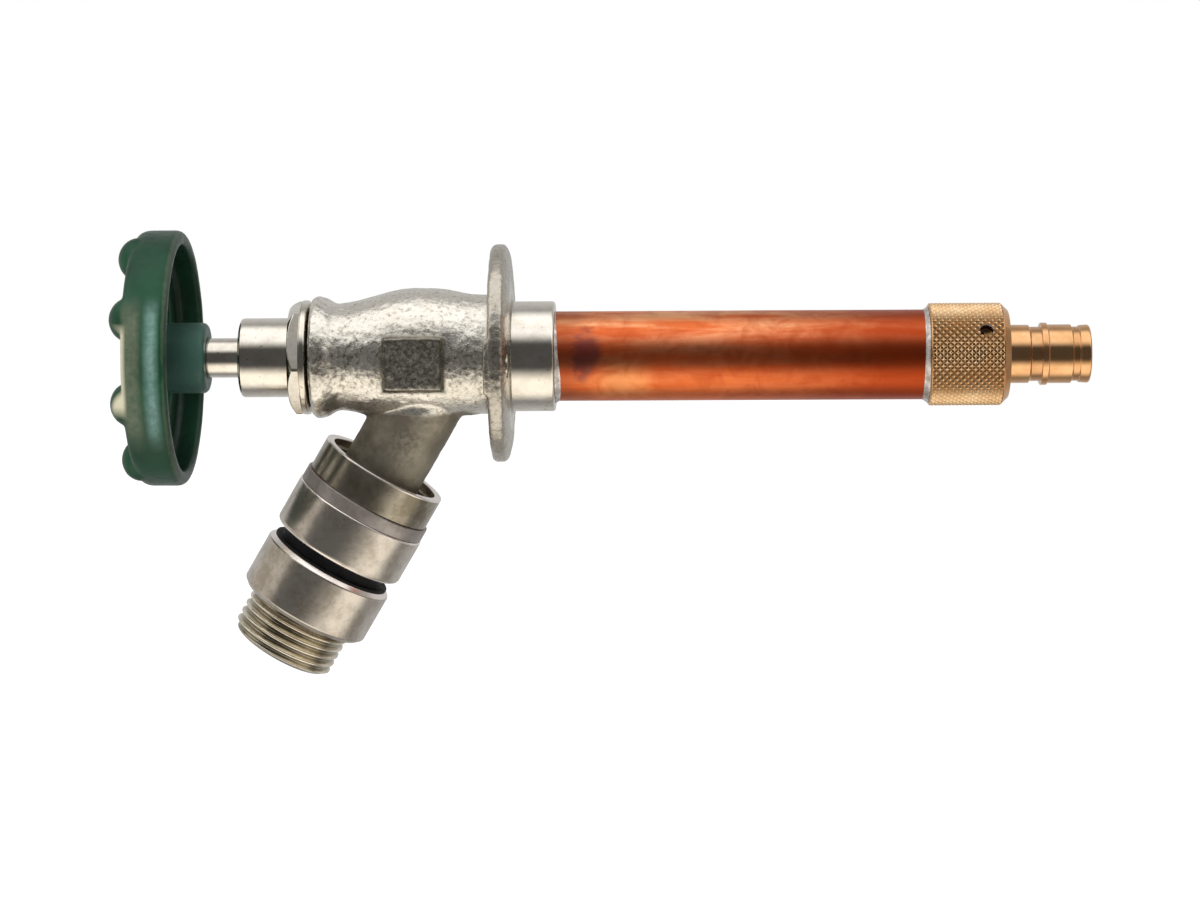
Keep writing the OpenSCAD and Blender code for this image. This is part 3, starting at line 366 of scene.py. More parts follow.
def make_brass(name, base, tint, groove, depths, rough):
    """Turned brass, a little dull: yellow-brown, with rings from the lathe, and painted shade low in its grooves,
    which lie between two radii in millimetres, and in the sight hole."""
    material, tree, shader, place = new_material(name, Metallic=1.0)
    film = add(tree, NOISE, place, per_mm(4), 4, 0.6)
    station, radius = polar(tree, place, AXIS_X)
    rings = add(tree, NOISE, station, per_mm(0.3), 2.0, noise_dimensions="1D")
    out_by, off_centre = polar(tree, place, tuple(SIGHT_WAY), (SIGHT_X * MM, 0, 0))
    colour = layered(
        tree, base, (tint, (film, 0.35, 0.68)),
        # painted shade low in the grooves
        (groove, (radius, depths[1] * MM, depths[0] * MM), 0.7),
        # painted shade in the sight hole
        ("#5d4020", (off_centre, 0.0018, 0.0017), (radius, 0.0127, 0.0122),
         (out_by, 0.001, 0.002), 0.8))
    dress(tree, shader, colour, add(tree, RANGE, film, 0.3, 0.7, rough, rough + 0.12), [
        (rings, 0.02, 0.4), (film, 0.05, 0.25)])
    return material


def make_solder():
    """Tin solder wiped round a joint: pale, dull and slightly lumpy, with grey flux film."""
    material, tree, shader, place = new_material("tin_solder", Metallic=1.0)
    film = add(tree, NOISE, place, per_mm(2.2), 4, 0.65)
    colour = layered(tree, "#f1ece8", ("#a79c92", (film, 0.38, 0.66)))
    dress(tree, shader, colour, add(tree, RANGE, film, 0.3, 0.7, 0.3, 0.5), [
        (add(tree, NOISE, place, per_mm(0.9), 3), 0.1, 0.5)])
    return material


def make_steel(name, axis):
    """Stainless steel: cool grey, fine drawn or turned lines."""
    material, tree, shader, place = new_material(name, Metallic=1.0)
    film = add(tree, NOISE, place, per_mm(3), 3)
    station, _ = polar(tree, place, axis)
    colour = layered(tree, "#b7babd", ("#9a9c9e", (film, 0.35, 0.65)))
    dress(tree, shader, colour, add(tree, RANGE, film, 0.3, 0.7, 0.22, 0.34), [
        (add(tree, NOISE, station, per_mm(0.25), 2.0, noise_dimensions="1D"), 0.015, 0.35)])
    return material


def make_rubber():
    """Moulded black nitrile rubber: matt with a faint grey bloom."""
    material, tree, shader, place = new_material("nitrile_rubber", Specular_IOR_Level=0.25)
    bloom = add(tree, NOISE, place, per_mm(3), 4, 0.6)
    colour = layered(tree, "#0a0a0b", ("#151517", (bloom, 0.4, 0.7)))
    dress(tree, shader, colour, add(tree, RANGE, bloom, 0.3, 0.7, 0.5, 0.7), [
        (add(tree, NOISE, place, per_mm(0.4), 2), 0.02, 0.4)])
    return material


def make_acetal():
    """Moulded acetal: smooth, slightly waxy, dark blue-grey."""
    material, tree, shader, place = new_material("acetal", IOR=1.48)
    flow = add(tree, NOISE, place, per_mm(5), 3)
    colour = layered(tree, "#36424c", ("#414e58", (flow, 0.35, 0.65)))
    dress(tree, shader, colour, add(tree, RANGE, flow, 0.3, 0.7, 0.32, 0.45), [
        (add(tree, NOISE, place, per_mm(0.8), 2), 0.02, 0.3)])
    return material


NICKEL = turned_nickel("bright_nickel", AXIS_X, "#eee8dd", "#e2dacd", "#a3988a",
                       film_share=0.14, rough=0.07)
# The cup and the breaker get painted highlight bands at their edges
CUP_NICKEL = turned_nickel("tarnished_nickel", AXIS_OUT, "#aba393", "#908776", "#69604d",
                           film_share=0.4, rough=0.17, pits=0.2, metal=0.94, edges=[(0.04, 0.0407)])
BREAKER_NICKEL = turned_nickel("breaker_nickel", AXIS_OUT, "#d3cbc0", "#bfb6a9", "#8c8273",
                               film_share=0.3, rough=0.2, pits=0.2, metal=0.95,
                               edges=[(0.052, 0.0526), (0.0636, 0.0643), (0.0676, 0.0687)])
THREAD_NICKEL = turned_nickel("thread_nickel", AXIS_OUT, "#f6eedd", "#e6dcc6", "#8c8066",
                              film_share=0.2, rough=0.14, pitch=0.6, pits=0.3, valley=(0.0133, 0.0124))
SATIN_NICKEL = turned_nickel("satin_nickel", AXIS_OUT, "#aea6a1", "#9e958f", "#7b726b",
                             film_share=0.3, rough=0.36, pitch=0.2, pits=0.2, metal=0.8)
CAST_NICKEL = make_cast_nickel()
ENAMEL = make_enamel()
COPPER = make_copper()
FITTING_BRASS = make_brass("fitting_brass", "#eebb88", "#dba470", "#8a5a35", depths=(6.0, 6.9), rough=0.1)
KNURL_BRASS = make_brass("knurled_brass", "#fcdcb0", "#f2c896", "#bd8c5a", depths=(12.2, 12.6), rough=0.24)
ROD_BRASS = make_brass("rod_brass", "#c9a262", "#b58c50", "#5f4624", depths=(0.0, 0.5), rough=0.25)
SOLDER = make_solder()
STEEL = make_steel("stainless_steel", AXIS_X)
SPRING_STEEL = make_steel("spring_steel", AXIS_OUT)
RUBBER = make_rubber()
ACETAL = make_acetal()


# Mesh helpers
LEAST_BEND, MOST_OF_SIDE, LONGEST_GUARD, SMALL_ARC = math.radians(12), 0.42, 0.1, 0.6
SHARP_ANGLE = 35
DRILL_SIDES, DRILL_TIP = 24, math.radians(118)
EDGE_REACH = 24


def to_object(name, build, material, smooth_angle=SHARP_ANGLE):
    """Object at the origin from a bmesh in metres, with merged doubles and outward faces."""
    bmesh.ops.remove_doubles(build, verts=build.verts, dist=1e-6)
    bmesh.ops.recalc_face_normals(build, faces=build.faces)
    mesh = bpy.data.meshes.new(name)
    build.to_mesh(mesh)
    build.free()
    mesh.shade_smooth()
    mesh.set_sharp_from_angle(angle=math.radians(smooth_angle))
    mesh.materials.append(material)
    made = bpy.data.objects.new(name, mesh)
    scene.collection.objects.link(made)
    return made


def evaluated(made):
    """The object's own mesh with its modifiers applied."""
    graph = bpy.context.evaluated_depsgraph_get()
    graph.update()
    mesh = bpy.data.meshes.new_from_object(made.evaluated_get(graph))
    made.modifiers.clear()
    made.data = mesh
    mesh.name = made.name
    return made


def rounded(outline, radius, closed=True):
    """Outline with a small arc at each corner, and a point beside each arc that keeps the flats flat.

    A corner is (r, s) or (r, s, its own radius). Points on the axis stay as they are."""
    result = []
    count = len(outline)
    for i, corner in enumerate(outline):
        here = Vector(corner[:2])
        wish = corner[2] if len(corner) > 2 else radius
        if here.x == 0 or wish == 0 or (not closed and i in (0, count - 1)):
            result.append(here)
            continue
        before = Vector(outline[i - 1][:2]) - here
        after = Vector(outline[(i + 1) % count][:2]) - here
        if before.length < 1e-6 or after.length < 1e-6:
            continue
        bend = math.pi - before.angle(after)
        if bend < LEAST_BEND:
            result.append(here)
            continue
        reach = min(wish * math.tan(bend / 2), MOST_OF_SIDE * before.length, MOST_OF_SIDE * after.length)
        start = here + before.normalized() * reach
        end = here + after.normalized() * reach
        guard = min(LONGEST_GUARD, reach)
        steps = 5 if wish < SMALL_ARC else 8
        result.append(start + before.normalized() * guard * 0.5)
        for k in range(steps + 1):
            t = k / steps
            result.append((1 - t) ** 2 * start + 2 * t * (1 - t) * here + t ** 2 * end)
        result.append(end + after.normalized() * guard * 0.5)
    return result


def lathe(name, outline, place, material, radius=0.15, segments=SEGMENTS, wobble=None):
    """Turned piece from a closed outline of (radius, station) points in millimetres."""
    points = rounded(outline, radius)
    build = bmesh.new()
    rings = []
    for p in points:
        if p.x < 1e-6:
            rings.append([build.verts.new(place @ Vector((0, 0, p.y)) * MM)])
            continue
        ring = []
        for j in range(segments):
            a = 2 * math.pi * j / segments
            wide, far = wobble(a, p) if wobble else (0, 0)
            r = p.x + wide
            ring.append(build.verts.new(place @ Vector((r * math.cos(a), r * math.sin(a), p.y + far)) * MM))
        rings.append(ring)
    for low, high in zip(rings, rings[1:] + rings[:1]):
        if len(low) == 1 and len(high) == 1:
            continue
        for j in range(segments):
            n = (j + 1) % segments
            corners = [low[j % len(low)], low[n % len(low)], high[n % len(high)], high[j % len(high)]]
            build.faces.new(list(dict.fromkeys(corners)))
    return to_object(name, build, material)


def drill(made, start, direction, diameter, depth, sink=0.0):
    """Drills a hole with a cone at its end, and with sink a small countersink at its mouth, in millimetres."""
    turn = Vector(direction).normalized().to_track_quat("Z", "Y").to_matrix().to_4x4()
    r = diameter / 2
    cone = r / math.tan(DRILL_TIP / 2)
    outline = [(0, -2), (r + sink + 2, -2), (r + sink, 0), (r, sink + 0.01), (r, depth), (0, depth + cone)]
    place = Matrix.Translation(Vector(start)) @ turn
    cutter = lathe("drill", outline, place, made.data.materials[0], 0, DRILL_SIDES)
    cut = made.modifiers.new("drill", "BOOLEAN")
    cut.solver = "EXACT"
    cut.operation = "DIFFERENCE"
    cut.object = cutter
    evaluated(made)
    bpy.data.objects.remove(cutter)
    made.data.set_sharp_from_angle(angle=math.radians(SHARP_ANGLE))


def softened(points, edges, passes):
    """Points drawn half-way to the mean of their neighbours, that many times."""
    first, second = edges.T
    count = np.bincount(edges.ravel(), minlength=len(points))
    for _ in range(passes):
        total = [np.bincount(first, points[second, k], len(points))
                 + np.bincount(second, points[first, k], len(points)) for k in range(3)]
        points = (points + np.stack(total, 1) / count[:, None]) / 2
    return points


def cast_skin(name, node, material, voxel, passes, layers, fit=None):
    """A rounded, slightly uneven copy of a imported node, as a casting has; layers are (size, depth) in millimetres.

    Its attribute "edge" is how far a point stands out of its surroundings, in millimetres."""
    build = bmesh.new()
    build.from_mesh(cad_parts[node].data)
    made = to_object(name, build, material, 180)
    skin = made.modifiers.new("skin", "REMESH")
    skin.mode = "VOXEL"
    skin.voxel_size = voxel * MM
    evaluated(made)
    mesh = made.data
    points = np.empty(len(mesh.vertices) * 3)
    mesh.vertices.foreach_get("co", points)
    edges = np.empty(len(mesh.edges) * 2, dtype=np.int32)
    mesh.edges.foreach_get("vertices", edges)
    edges = edges.reshape(-1, 2)
    points = softened(points.reshape(-1, 3) / MM, edges, passes)
    mesh.vertices.foreach_set("co", (points * MM).ravel())
    mesh.update()
    normals = np.empty(len(points) * 3)
    mesh.vertices.foreach_get("normal", normals)
    normals = normals.reshape(-1, 3)
    standing = ((points - softened(points, edges, EDGE_REACH)) * normals).sum(1)
    for i, place in enumerate(points):
        spot = Vector(place)
        lift = sum(depth * noise.noise(spot / size + Vector((size, 0, 0))) for size, depth in layers)
        spot = spot + Vector(normals[i]) * lift
        points[i] = fit(spot) if fit else spot
    mesh.vertices.foreach_set("co", (points * MM).ravel())
    mesh.attributes.new("edge", "FLOAT", "POINT").data.foreach_set("value", standing)
    mesh.materials.clear()
    mesh.materials.append(material)
    mesh.shade_smooth()
    mesh.update()
    return made


def finish_piece(made, body, slot, *nodes):
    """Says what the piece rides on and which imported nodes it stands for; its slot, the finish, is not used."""
    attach(made, body)
    if nodes:
        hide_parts(*nodes)
    return made


# Geometry Nodes
def new_tree(name, sizes):
    """Geometry node tree with named inputs for whole or broken numbers, its input and its output node."""
    tree = bpy.data.node_groups.new(name, "GeometryNodeTree")
    for label, value in sizes.items():
        kind = "NodeSocketInt" if isinstance(value, int) else "NodeSocketFloat"
        tree.interface.new_socket(label, in_out="INPUT", socket_type=kind).default_value = value
    tree.interface.new_socket("Geometry", in_out="OUTPUT", socket_type="NodeSocketGeometry")
    return tree, add(tree, "NodeGroupInput", out=None), tree.nodes.new("NodeGroupOutput")


def run_tree(name, tree, values):
    """Plain mesh object made by the tree, with its inputs set by their identifiers."""
    made = bpy.data.objects.new(name, bpy.data.meshes.new(name))
    scene.collection.objects.link(made)
    shaper = made.modifiers.new("shape", "NODES")
    shaper.node_group = tree
    for item in tree.interface.items_tree:
        if item.in_out == "INPUT" and item.name in values:
            shaper[item.identifier] = values[item.name]
    return evaluated(made)


def rolled_ring(tree, sheet, reach, angle, station, seam, inner_radius, material):
    """Rolls a sheet up round the Z axis, with an inner wall at that radius, and closes its seam and both ends."""
    wrapped = add(tree, TOGETHER, add(tree, TIMES, reach, add(tree, COSINE, angle)),
                  add(tree, TIMES, reach, add(tree, SINE, angle)), station)
    skin = add(tree, "GeometryNodeSetPosition", sheet, Position=wrapped)
    skin = add(tree, "GeometryNodeMergeByDistance", skin, Distance=seam)
    position = add(tree, POSITION)
    radial = add(tree, VECTOR, add(tree, VECTOR, position, (1, 1, 0), operation="MULTIPLY"), operation="NORMALIZE")
    shell = add(tree, "GeometryNodeExtrudeMesh", mode="FACES", Mesh=skin, Offset=radial, Offset_Scale=-0.0003,
                Individual=False, out=None)
    inner = add(tree, VECTOR, radial, inner_radius, operation="SCALE")
    height = add(tree, VECTOR, position, (0, 0, 1), operation="MULTIPLY")
    target = add(tree, VECTOR, inner, height, operation="ADD")
    wall = add(tree, "GeometryNodeSetPosition", shell["Mesh"], shell["Top"], target)
    wall = add(tree, "GeometryNodeFlipFaces", wall)
    joined = add(tree, "GeometryNodeJoinGeometry", [skin, wall])
    merged = add(tree, "GeometryNodeMergeByDistance", joined, Distance=2e-6)
    real = add(tree, "GeometryNodeRealizeInstances", merged)
    return add(tree, "GeometryNodeSetMaterial", real, Material=material)


def spout_point(d, side=0.0):
    """Point in millimetres at distance d along the spout's axis, and off it to the side."""
    return SPOUT @ Vector((0, side, d))


def in_metres(place):
    """The same placing for a mesh that is already in metres."""
    moved = place.copy()
    moved.translation = moved.translation * MM
    return moved


# Handwheel and spindle
handwheel = cast_skin("wheel", "handwheel", ENAMEL, voxel=0.4, passes=4, layers=[(6, 0.05), (1.8, 0.025)])
finish_piece(handwheel, "spindle", "green_enamel", "handwheel")

STEM_TIP, SQUARE_END, STEM_THREAD = -90.5, -80.0, -43.5625
STEM_THREAD_END = STEM_THREAD + 12
STEM_END = STEM_THREAD_END + 11.6
STEM_R, STEM_THREAD_R, STEM_TAIL_R, SQUARE_R, SQUARE_HALF = 4.9, 6.35, 6.0, 4.67, 3.3
SCREW_HOLE_R, SCREW_HOLE_END = 2.04, STEM_TIP + 11.5
ROD_SOCKET_R, ROD_SOCKET_X = 4.01, STEM_END - 12
PIN_HOLE_D, PIN_HOLE_X = 2.58, STEM_END - 5


def square_end(a, p):
    """Pulls the round bar in to the square that the handwheel turns."""
    if p.y > SQUARE_END:
        return 0, 0
    return min(0, SQUARE_HALF / max(abs(math.cos(a)), abs(math.sin(a))) - p.x), 0


stem = lathe("spindle_bar", [
    (SCREW_HOLE_R, STEM_TIP), (SQUARE_R, STEM_TIP, 0), (SQUARE_R, SQUARE_END, 0), (SQUARE_R, SQUARE_END + 0.02, 0),
    (STEM_R, SQUARE_END + 0.3), (STEM_R, STEM_THREAD), (STEM_THREAD_R, STEM_THREAD, 0.4),
    (STEM_THREAD_R, STEM_THREAD_END, 0.4), (STEM_TAIL_R, STEM_THREAD_END), (STEM_TAIL_R, STEM_END),
    (ROD_SOCKET_R, STEM_END), (ROD_SOCKET_R, ROD_SOCKET_X), (0, ROD_SOCKET_X), (0, SCREW_HOLE_END),
    (SCREW_HOLE_R, SCREW_HOLE_END)], BARREL, NICKEL, 0.2, 96, square_end)
drill(stem, (PIN_HOLE_X, -7, 0), (0, 1, 0), PIN_HOLE_D, depth=14)
finish_piece(stem, "spindle", "nickel_plate", "stem")

# Bonnet: nose, hex, round flange and shank
LIP_X = -49.6
FLANGE_END = LIP_X - 0.2
HEX_X = FLANGE_END - 4.9
NOSE_X = HEX_X - 12.5
HEX_L, HEX_ACROSS, BLANK_R = 3.0, 25.4, 14.67
RING_R, NOSE_R, SHANK_R = 14.2, 9.8, 9.5
STEM_BORE_R, THREAD_BORE_R, THREAD_BORE_X = 4.95, 6.4, HEX_X + 2.7
WASHER_BORE_R = 9.7
BONNET_END = FLANGE_END + 13.6
HEX_TURN = math.radians(37)


def hexagon(a, p):
    """Cuts the six flats out of the round blank."""
    if not (HEX_X - 0.01 <= p.y <= HEX_X + HEX_L and p.x > 12):
        return 0, 0
    step = math.pi / 3
    return min(0, HEX_ACROSS / 2 / math.cos((a - HEX_TURN) % step - step / 2) - p.x), 0


hex_outline = [(BLANK_R - 2.2 * max(0, 1 - t / 1.7) ** 1.2, HEX_X + t, 0) for t in np.linspace(0, HEX_L, 31)]
bonnet = lathe("bonnet_nut", [
    (STEM_BORE_R, NOSE_X), (NOSE_R, NOSE_X, 1.1), (NOSE_R, HEX_X, 0.4), *hex_outline,
    (13.9, HEX_X + HEX_L + 0.02, 0.2), (RING_R, HEX_X + HEX_L + 0.3, 0.2), (RING_R, FLANGE_END - 0.5, 0.5),
    (13.5, FLANGE_END, 0.4), (WASHER_BORE_R, FLANGE_END, 0.2), (SHANK_R, FLANGE_END), (SHANK_R, BONNET_END),
    (THREAD_BORE_R, BONNET_END), (THREAD_BORE_R, THREAD_BORE_X), (STEM_BORE_R, THREAD_BORE_X)],
    BARREL, NICKEL, 0.15, 240, hexagon)
finish_piece(bonnet, "fixed", "nickel_plate", "bonnet")

gasket = lathe("bonnet_washer", [
    (WASHER_BORE_R, FLANGE_END + GAP), (12.3, FLANGE_END + GAP, 0.1), (12.3, LIP_X + 0.5, 0.1),
    (WASHER_BORE_R, LIP_X + 0.5)], BARREL, RUBBER, 0.05)
finish_piece(gasket, "fixed", "rubber", "bonnet_gasket")

# Cast body and its turned collar
COLLAR_R, COLLAR_END, COLLAR_GAP = 13.65, 10.9, 0.4
TUBE_SEAT_R, TUBE_R, TUBE_BORE_R, SOLDER_R = 11.16, 11.1125, 9.97, 11.13


def clear_collar(p):
    """Draws the casting in under the separate turned collar."""
    if p.x < 0.6:
        return p
    r = math.hypot(p.y, p.z)
    if r > 12:
        shrink = (r - COLLAR_GAP) / r
        p = Vector((p.x, p.y * shrink, p.z * shrink))
    return Vector((min(p.x, COLLAR_END - COLLAR_GAP), p.y, p.z))


body = cast_skin("cast_body", "valve_body", CAST_NICKEL, voxel=0.46, passes=3,
                 layers=[(5, 0.1), (1.9, 0.08), (1.1, 0.05)], fit=clear_collar)
finish_piece(body, "fixed", "cast_nickel", "valve_body")

collar = lathe("rear_collar", [
    (TUBE_SEAT_R, -1), (COLLAR_R, -1), (COLLAR_R, COLLAR_END, 0.9), (TUBE_SEAT_R, COLLAR_END)], BARREL, NICKEL)
finish_piece(collar, "fixed", "nickel_plate", "valve_body")

# Copper barrel, solder and inlet fitting
FITTING_X, KNURL_END = 103.0, 122.6
WAVE_DEPTH, WAVES_ROUND, WAVE_LENGTH = 0.03, 1.4, 26
TUBE_END = FITTING_X + 9.96


def drawn(a, p):
    """The tube's slight waviness, which breaks the reflections."""
    spot = Vector((math.cos(a) * WAVES_ROUND, math.sin(a) * WAVES_ROUND, p.y / WAVE_LENGTH))
    return WAVE_DEPTH * noise.noise(spot), 0


tube_stations = [(TUBE_R, x, 0) for x in np.linspace(1.4, FITTING_X + 9.4, 60)]
tube = lathe("copper_barrel", [
    (TUBE_BORE_R, 0.9), (TUBE_R, 0.9), *tube_stations, (TUBE_R, TUBE_END), (TUBE_BORE_R, TUBE_END)],
    BARREL, COPPER, 0.15, SEGMENTS, drawn)
finish_piece(tube, "fixed", "copper", "copper_tube")


def solder_ring(name, node, x, direction, seed, low, high, full_at):
    """Fillet of solder from a face at station x, feathered out on the tube, widest at the angle full_at."""
    def run(a, p):
        lump = noise.noise(Vector((1.1 * math.cos(a) + seed, 1.1 * math.sin(a), seed)))
        fine = noise.noise(Vector((5 * math.cos(a), 5 * math.sin(a), seed + p.y)))
        bulk = (0.5 + 0.5 * math.cos(a - full_at)) ** 3
        share = low + (high - low) * min(1, max(0, bulk + 0.3 * lump))
        return (p.x - SOLDER_R) * (share - 1) + 0.04 * fine, (p.y - x) * (share - 1)

    rise = [(0, 0), (0.9, 0), (0.72, 0.35), (0.42, 0.75), (0.16, 1.1), (0.02, 1.36), (0, 1.36)]
    outline = [(SOLDER_R + r, x + direction * s) for r, s in rise]
    made = lathe(name, outline, BARREL, SOLDER, 0.2, SEGMENTS, run)
    return finish_piece(made, "fixed", "solder", node)


solder_ring("front_solder", "front_solder_ring", COLLAR_END + 0.03, direction=1, seed=3.1, low=0.12, high=1.05,
            full_at=math.radians(-52))
solder_ring("rear_solder", "rear_solder_ring", FITTING_X - 0.03, direction=-1, seed=7.4, low=0.8, high=1.1,
            full_at=math.radians(-40))

KNURL_R, KNURL_DEPTH, KNURL_AROUND, KNURL_ROWS = 12.7, 0.46, 46, 10
BARB_R, GROOVE_R, RIDGE_R = 7.25, 6.7, 7.7
WATERWAY_R, SEAT_R, SEAT_X, SEAT_END = 5.1, 6.2, 114.6, 115.8
RIDGE_X = KNURL_END + 8.1
BARB_END = RIDGE_X + 1.6 + 5.8 + 2.1 + 2.6
KNURL_WALL, THREAD_WALL = 0.3, 0.4
core_r = KNURL_R - KNURL_DEPTH - GAP
fitting = lathe("fitting_core", [
    (TUBE_SEAT_R, FITTING_X), (KNURL_R - 0.5, FITTING_X, 0.1), (KNURL_R - 0.1, FITTING_X + 0.4),
    (core_r, FITTING_X + 0.5, 0), (core_r, KNURL_END - 1.85, 0), (KNURL_R - 0.1, KNURL_END - 1.75, 0.1),
    (KNURL_R - 1.8, KNURL_END, 0.2), (BARB_R - 0.05, KNURL_END, 0.3), (BARB_R - 0.05, RIDGE_X - 3),
    (GROOVE_R, RIDGE_X - 2.6, 0.3), (GROOVE_R, RIDGE_X), (RIDGE_R, RIDGE_X, 0.2), (RIDGE_R, RIDGE_X + 1.5, 0.3),
    (BARB_R, RIDGE_X + 1.7, 0.2), (BARB_R, RIDGE_X + 7.4), (GROOVE_R, RIDGE_X + 7.7, 0.3),
    (GROOVE_R, RIDGE_X + 9.2, 0.3), (BARB_R - 0.2, RIDGE_X + 9.5, 0.3), (BARB_R, BARB_END, 1.3),
    (WATERWAY_R, BARB_END, 0.4), (WATERWAY_R, SEAT_X), (SEAT_R, SEAT_X), (SEAT_R, SEAT_END),
    (TUBE_BORE_R, SEAT_END), (TUBE_BORE_R, FITTING_X + 10), (TUBE_SEAT_R, FITTING_X + 10)],
    BARREL, FITTING_BRASS, 0.12)

KNURL_X = FITTING_X + 0.35
tree, sizes, sink = new_tree("diamond_knurl", {
    "Radius": KNURL_R * MM, "Depth": KNURL_DEPTH * MM, "Pitch": 2 * math.pi * KNURL_R / KNURL_AROUND * MM,
    "Around": KNURL_AROUND, "Rows": KNURL_ROWS, "Start": KNURL_X * MM})
pitch = sizes["Pitch"]
half_pitch = add(tree, TIMES, pitch, 0.5)
stud = add(tree, "GeometryNodeMeshCone", 4, fill_type="NGON", Radius_Bottom=half_pitch, Depth=sizes["Depth"],
           Radius_Top=add(tree, TIMES, half_pitch, 0.2))
downward = add(tree, APART, add(tree, "GeometryNodeInputNormal"), out="Z")
is_base = add(tree, "FunctionNodeCompare", downward, -0.9, operation="LESS_THAN")
stud = add(tree, "GeometryNodeDeleteGeometry", stud, is_base, domain="FACE")
lattices = []
for shift, extra in ((0.0, 1), (0.5, 0)):
    lines = add(tree, PLUS, sizes["Rows"], extra)
    corner = add(tree, TIMES, pitch, shift)
    spans, middles = [], []
    for count in (sizes["Around"], lines):
        spans.append(add(tree, TIMES, pitch, add(tree, MINUS, count, 1)))
        middles.append(add(tree, TIMES_PLUS, spans[-1], 0.5, corner))
    points = add(tree, "GeometryNodeMeshGrid", *spans, sizes["Around"], lines)
    middle = add(tree, TOGETHER, *middles)
    lattices.append(add(tree, "GeometryNodeTransform", points, middle))
lattice = add(tree, "GeometryNodeJoinGeometry", lattices)
studs = add(tree, "GeometryNodeInstanceOnPoints", Points=lattice, Instance=stud)
studs = add(tree, "GeometryNodeRealizeInstances", studs)
flat = add(tree, APART, add(tree, POSITION), out=None)
angle = add(tree, OVER, flat["X"], sizes["Radius"])
valley = add(tree, MINUS, sizes["Radius"], sizes["Depth"])
reach = add(tree, PLUS, valley, flat["Z"])
length = add(tree, TIMES, pitch, sizes["Rows"])
station = add(tree, LOWEST, add(tree, HIGHEST, flat["Y"], 0.0), length)
station = add(tree, PLUS, station, sizes["Start"])
feed(tree, sink.inputs[0], rolled_ring(
    tree, studs, reach, angle, station, 2e-5, (core_r - KNURL_WALL) * MM, KNURL_BRASS))
knurl = run_tree("knurl", tree, {"Rows": KNURL_ROWS, "Around": KNURL_AROUND})
knurl.data.transform(in_metres(BARREL))

for made in (fitting, knurl):
    drill(made, Vector((SIGHT_X, 0, 0)) + SIGHT_WAY * KNURL_R, -SIGHT_WAY, SIGHT_D, depth=2.4, sink=0.15)
finish_piece(fitting, "fixed", "brass", "inlet_fitting")
finish_piece(knurl, "fixed", "brass", "inlet_fitting")

# Vacuum breaker
CUP_D0, BAND_D0, SHELL_D0, SHELL_D1, RING_D0, RING_D1, NIPPLE_D1 = 32.2, 40.6, 44.1, 56.32, 59.72, 74.12, 85.82
WEB_D0, WEB_D1, SKIRT_D1 = 46.38, 49.38, 63.98
CUP_R, CUP_BORE_R, SPOUT_BORE_R, BAND_SEAT_R, WEB_HOLE_R = 16.25, 14.3, 13.34, 15.6, 6.0
SKIRT_R, SKIRT_BORE_R, O_RING_R = 10.2, 8.2, 9.0
BAND_R, BAND_BORE_R, SHELL_R, SHELL_BORE_R = 16.85, 15.64, 17.1, 14.94
breaker = lathe("breaker_top", [
    (CUP_BORE_R, CUP_D0, 0.3), (CUP_R, CUP_D0, 0.35), (CUP_R, BAND_D0, 0.3), (BAND_SEAT_R, BAND_D0, 0.1),
    (BAND_SEAT_R, WEB_D1, 0.3), (SKIRT_R, WEB_D1), (SKIRT_R, SKIRT_D1 - 4.2), (O_RING_R, SKIRT_D1 - 4.2),
    (O_RING_R, SKIRT_D1 - 2.9), (SKIRT_R, SKIRT_D1 - 2.9), (SKIRT_R, SKIRT_D1, 0.5), (SKIRT_BORE_R, SKIRT_D1),
    (SKIRT_BORE_R, WEB_D1), (WEB_HOLE_R, WEB_D1), (WEB_HOLE_R, WEB_D0), (SPOUT_BORE_R, WEB_D0),
    (SPOUT_BORE_R, CUP_D0 + 2.3), (CUP_BORE_R, CUP_D0 + 2.3)], SPOUT, CUP_NICKEL, 0.15)
drill(breaker, spout_point(CUP_D0 + 5.4, CUP_R), (0, -1, 0), diameter=4.08, depth=3.2)
finish_piece(breaker, "fixed", "nickel_plate", "breaker_body")

band = lathe("breaker_girdle", [
    (BAND_BORE_R, BAND_D0 + GAP), (BAND_R, BAND_D0 + GAP, 0.3), (BAND_R, SHELL_D0 - GAP, 0.3),
    (BAND_BORE_R, SHELL_D0 - GAP)], SPOUT, SATIN_NICKEL)
finish_piece(band, "fixed", "satin_nickel", "breaker_band")

shell = lathe("breaker_skirt", [
    (BAND_BORE_R, SHELL_D0), (SHELL_R, SHELL_D0, 0.5), (SHELL_R, SHELL_D1, 1.3), (14.0, SHELL_D1, 0.3),
    (14.0, SHELL_D1 - 1.5), (SHELL_BORE_R, SHELL_D1 - 1.5), (SHELL_BORE_R, WEB_D1 + GAP),
    (BAND_BORE_R, WEB_D1 + GAP)], SPOUT, BREAKER_NICKEL)
finish_piece(shell, "fixed", "nickel_plate", "breaker_shell")

BOOT_BORE_R, BOOT_NECK_R, BOOT_R = 13.24, 13.74, 15.65
boot = lathe("vent_boot", [
    (BOOT_BORE_R, SHELL_D1 - 1.0), (BOOT_NECK_R, SHELL_D1 - 1.0), (BOOT_NECK_R, RING_D0 - 0.6, 0.3),
    (BOOT_R, RING_D0 - 0.6, 0.2), (BOOT_R, RING_D0 - GAP, 0.2), (BOOT_BORE_R, RING_D0 - GAP)],
    SPOUT, RUBBER, 0.1)
finish_piece(boot, "drain_sleeve", "rubber", "drain_boot")

